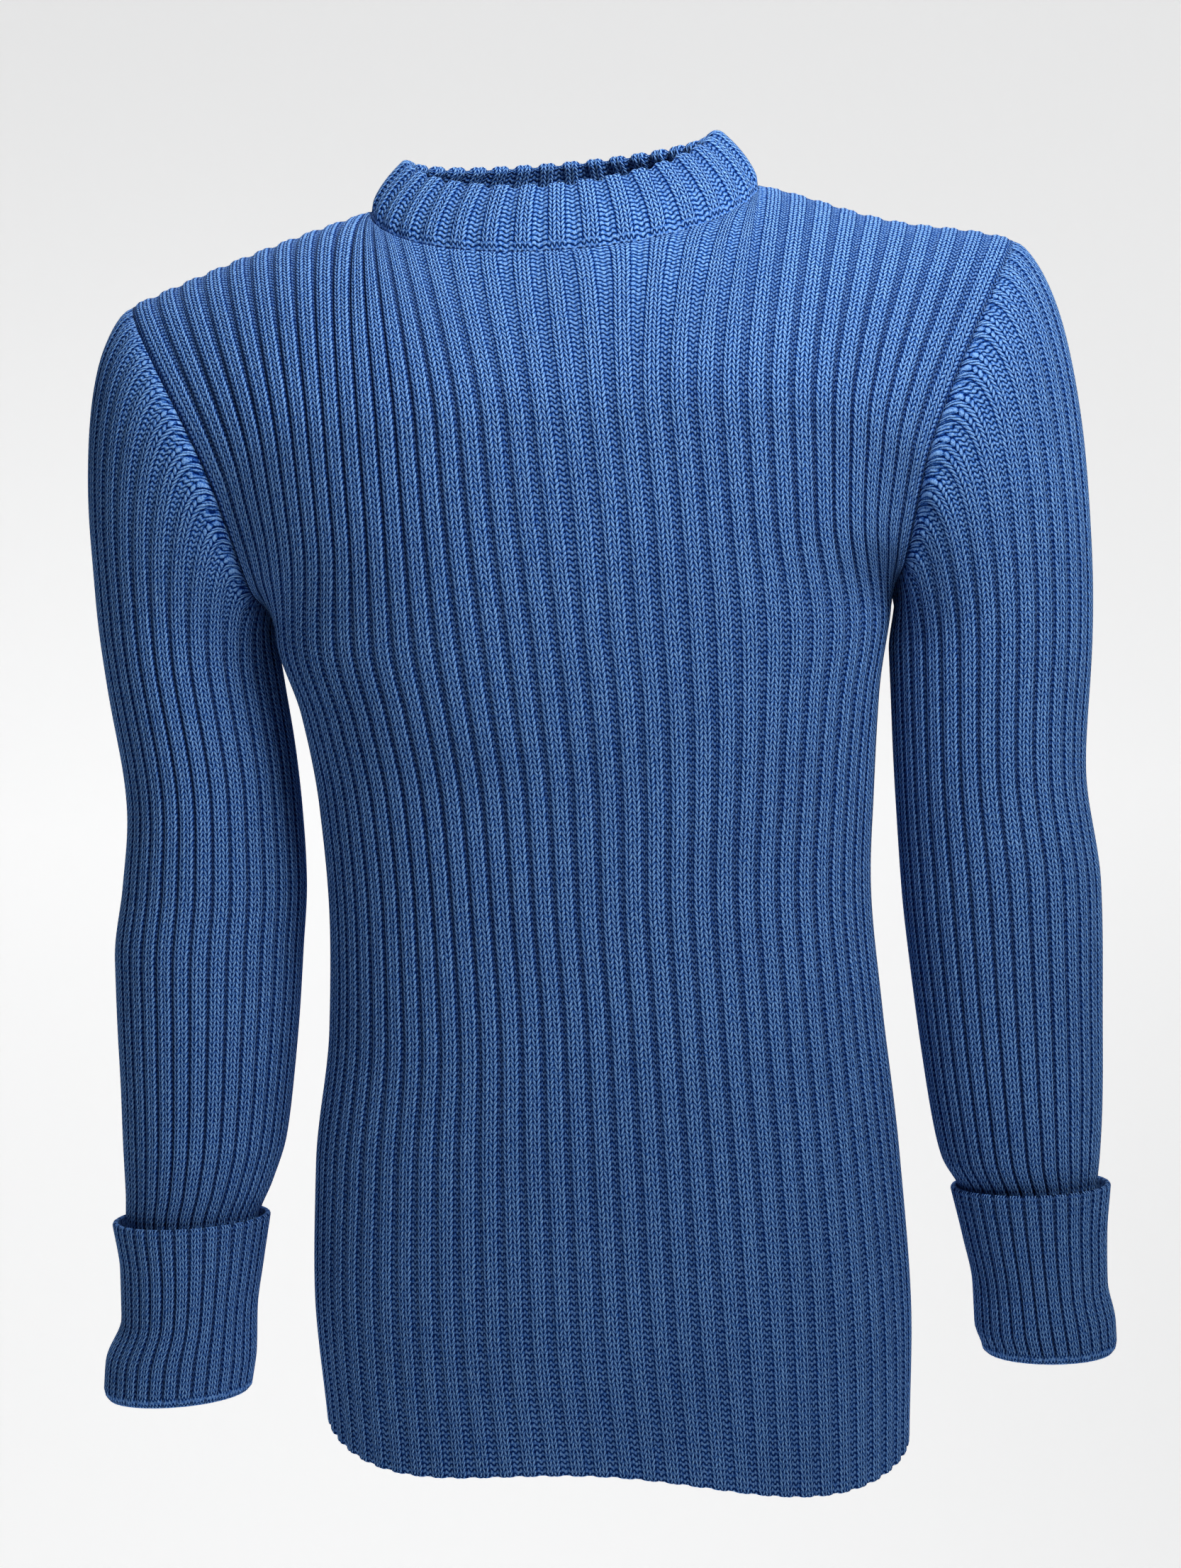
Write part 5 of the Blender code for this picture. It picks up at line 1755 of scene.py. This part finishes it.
@dataclass
class Studio:
    """The pale floor that curves up into a backdrop, the soft lights and the camera."""

    seen_world: float = 0.75
    world_light: float = 0.018
    floor_z: float = -1.55
    floor_half: float = 4.0
    backdrop_y: float = 2.6
    backdrop_bend: float = 1.2
    backdrop_height: float = 3.8
    camera_distance: float = 1.45
    camera_height: float = -0.315
    camera_turn: float = 4.0
    camera_roll: float = 2.5
    lens: float = 61.36
    sensor: float = 36.0
    clip: tuple = (0.05, 50.0)
    bend_steps: int = 16

    def build(self) -> None:
        """Makes everything round the object."""
        self.build_floor()
        self.build_lights()
        self.build_camera()
        bpy.context.scene.view_settings.view_transform = "Standard"

    def build_floor(self) -> None:
        """A sheet carried sideways along a path: flat floor, a quarter circle, then straight up."""
        bend = np.linspace(0.0, np.pi / 2, self.bend_steps + 1)
        flat = self.backdrop_y - self.backdrop_bend
        y = np.concatenate([[-self.floor_half], flat + self.backdrop_bend * np.sin(bend), [self.backdrop_y]])
        z = np.concatenate([[0.0], self.backdrop_bend * (1.0 - np.cos(bend)), [self.backdrop_height]])
        left = np.stack([np.full_like(y, -self.floor_half), y, z + self.floor_z], axis=1)
        right = left * np.array((-1.0, 1.0, 1.0))
        count = len(y)
        faces = [(i, i + 1, count + i + 1, count + i) for i in range(count - 1)]
        mesh = bpy.data.meshes.new("floor")
        mesh.from_pydata(np.concatenate([left, right]).tolist(), [], [face[::-1] for face in faces])
        mesh.shade_smooth()
        mesh.materials.append(PaperFinish().material())
        floor = bpy.data.objects.new("floor", mesh)
        bpy.context.scene.collection.objects.link(floor)

    def build_lights(self) -> None:
        """The lamps, and a white world that the camera sees brighter than the cloth does.

        The world's strength is world_light, plus seen_world on the camera's own rays.
        """
        for given in LAMPS:
            lamp = bpy.data.lights.new(given.name, "AREA")
            lamp.spread = np.radians(given.spread)
            lamp.size = given.size
            lamp.energy = given.watts
            made = bpy.data.objects.new(given.name, lamp)
            made.location = given.place
            made.rotation_mode = "QUATERNION"
            made.rotation_quaternion = (Vector(given.target) - Vector(given.place)).to_track_quat("-Z", "Y")
            bpy.context.scene.collection.objects.link(made)
        world = bpy.data.worlds.new("studio")
        world.use_nodes = True
        sky = world.node_tree.nodes["Background"]
        sky.inputs["Color"].default_value = (1.0, 1.0, 1.0, 1.0)
        g = Graph(world.node_tree)
        seen = g.times(g.node("ShaderNodeLightPath").outputs["Is Camera Ray"], self.seen_world)
        g.feed(sky.inputs["Strength"], g.add(seen, self.world_light))
        bpy.context.scene.world = world

    def build_camera(self) -> None:
        """The camera at the photograph's angle: level, a little to the wearer's left, and rolled."""
        turn, roll = np.radians(self.camera_turn), np.radians(self.camera_roll)
        ahead = np.array((-np.sin(turn), np.cos(turn), 0.0))
        right = np.array((np.cos(turn), np.sin(turn), 0.0))
        rolled_right = right * np.cos(roll) - UP * np.sin(roll)
        rolled_up = right * np.sin(roll) + UP * np.cos(roll)
        place = -ahead * self.camera_distance + UP * self.camera_height
        data = bpy.data.cameras.new("camera")
        data.lens = self.lens
        data.sensor_width = self.sensor
        data.sensor_fit = "AUTO"
        data.clip_start, data.clip_end = self.clip
        camera = bpy.data.objects.new("camera", data)
        columns = np.stack([rolled_right, rolled_up, -ahead, place], axis=1)
        camera.matrix_world = Matrix([*columns.tolist(), [0.0, 0.0, 0.0, 1.0]])
        bpy.context.scene.collection.objects.link(camera)
        bpy.context.scene.camera = camera


WOOL = KnitFinish(
    name="wool_rib",
    # painted highlight on the threads' tops
    crest_highlight=(0.235, 0.450, 0.830),
    strand=(0.028, 0.122, 0.450),
    # painted shade in the holes between the yarns and in the gutters
    gap=(0.001, 0.013, 0.112),
)
TRIM_WOOL = replace(WOOL, name="wool_trim_rib")
COLLAR_WOOL = replace(WOOL, name="wool_collar_rib", linked_courses=1.7)


class Jumper:
    """The whole garment: its pieces in the order that their seams need."""

    def __init__(self) -> None:
        """Gives each piece its node, slot and flat cut."""
        self.front = BodyPanel("front", "knit", (0.50, 0.735), 0.289, Side.FRONT)
        self.back = BodyPanel("back", "knit", (0.50, 0.732), 0.287, Side.BACK, seed=5)
        self.sleeve_left = Sleeve("sleeve_left", "knit", (0.42, 0.534), 0.147, Arm.LEFT, SLEEVE_LEFT)
        self.sleeve_right = Sleeve("sleeve_right", "knit", (0.42, 0.534), 0.143, Arm.RIGHT, SLEEVE_RIGHT)
        self.collar = Neckband("collar", "knit_trim", (0.594, 0.046), 0.0215)
        left, right = (Arm.LEFT, CUFF_LEFT, SLEEVE_LEFT[-1]), (Arm.RIGHT, CUFF_RIGHT, SLEEVE_RIGHT[-1])
        self.cuff_left = Cuff("cuff_left", "knit_trim", (0.28, 0.148), 0.035, *left)
        self.cuff_right = Cuff("cuff_right", "knit_trim", (0.28, 0.163), 0.040, *right)

    def weave(self) -> None:
        """Works out the surfaces, and turns each seam's two edges to one way out of the cloth."""
        front, back = self.front, self.back
        front.weave()
        back.weave()
        sides = {panel.side: panel for panel in (front, back)}
        neck_ways = self.collar.weave(front, back)
        for sleeve in (self.sleeve_left, self.sleeve_right):
            sleeve.weave(front, back)
        top_ways, edge_ways = {}, {}
        both_tops = shared_way(front.fabric.way_out[-1], back.fabric.way_out[-1])
        half_gap = np.array((0.0, CLOTH.seam_gap / 2, 0.0))
        for side, panel in sides.items():
            top = both_tops.copy()
            top[panel.neck] = neck_ways[side]
            top_ways[side] = top
            panel.fabric.inset[-1] += side.value * half_gap
        for edge, sleeve in ((-1, self.sleeve_left), (0, self.sleeve_right)):
            below = shared_way(front.fabric.way_out[:, edge], back.fabric.way_out[:, edge])
            for side, panel in sides.items():
                ways = below.copy()
                ways[panel.armhole] = sleeve.panel_ways[side]
                edge_ways[side, edge] = ways
                panel.fabric.inset[: panel.lower_rows, edge] += side.value * half_gap
        for side, panel in sides.items():
            panel.draw_in_edges(top_ways[side], {edge: edge_ways[side, edge] for edge in (0, -1)})

    def build(self, wool: bpy.types.Material, trim: bpy.types.Material, collar: bpy.types.Material) -> None:
        """Makes every piece.

        Args:
            wool: the finish of the body and sleeves.
            trim: that of the cuffs.
            collar: that of the neckband.
        """
        self.weave()
        self.front.build("front_panel", wool)
        self.back.build("back_panel", wool)
        self.sleeve_left.build("sleeve_left_cloth", wool)
        self.sleeve_right.build("sleeve_right_cloth", wool)
        self.collar.build("neckband", collar)
        self.cuff_left.build("cuff_left_fold", trim)
        self.cuff_right.build("cuff_right_fold", trim)


def main() -> None:
    """Builds the studio, the finishes and the jumper."""
    logging.basicConfig(level=logging.INFO, format="%(name)s: %(message)s")
    Studio().build()
    stitches = RibStitches()
    stitches.build()
    Jumper().build(stitches.material(WOOL), stitches.material(TRIM_WOOL), stitches.material(COLLAR_WOOL))


if __name__ == "__main__":
    main()
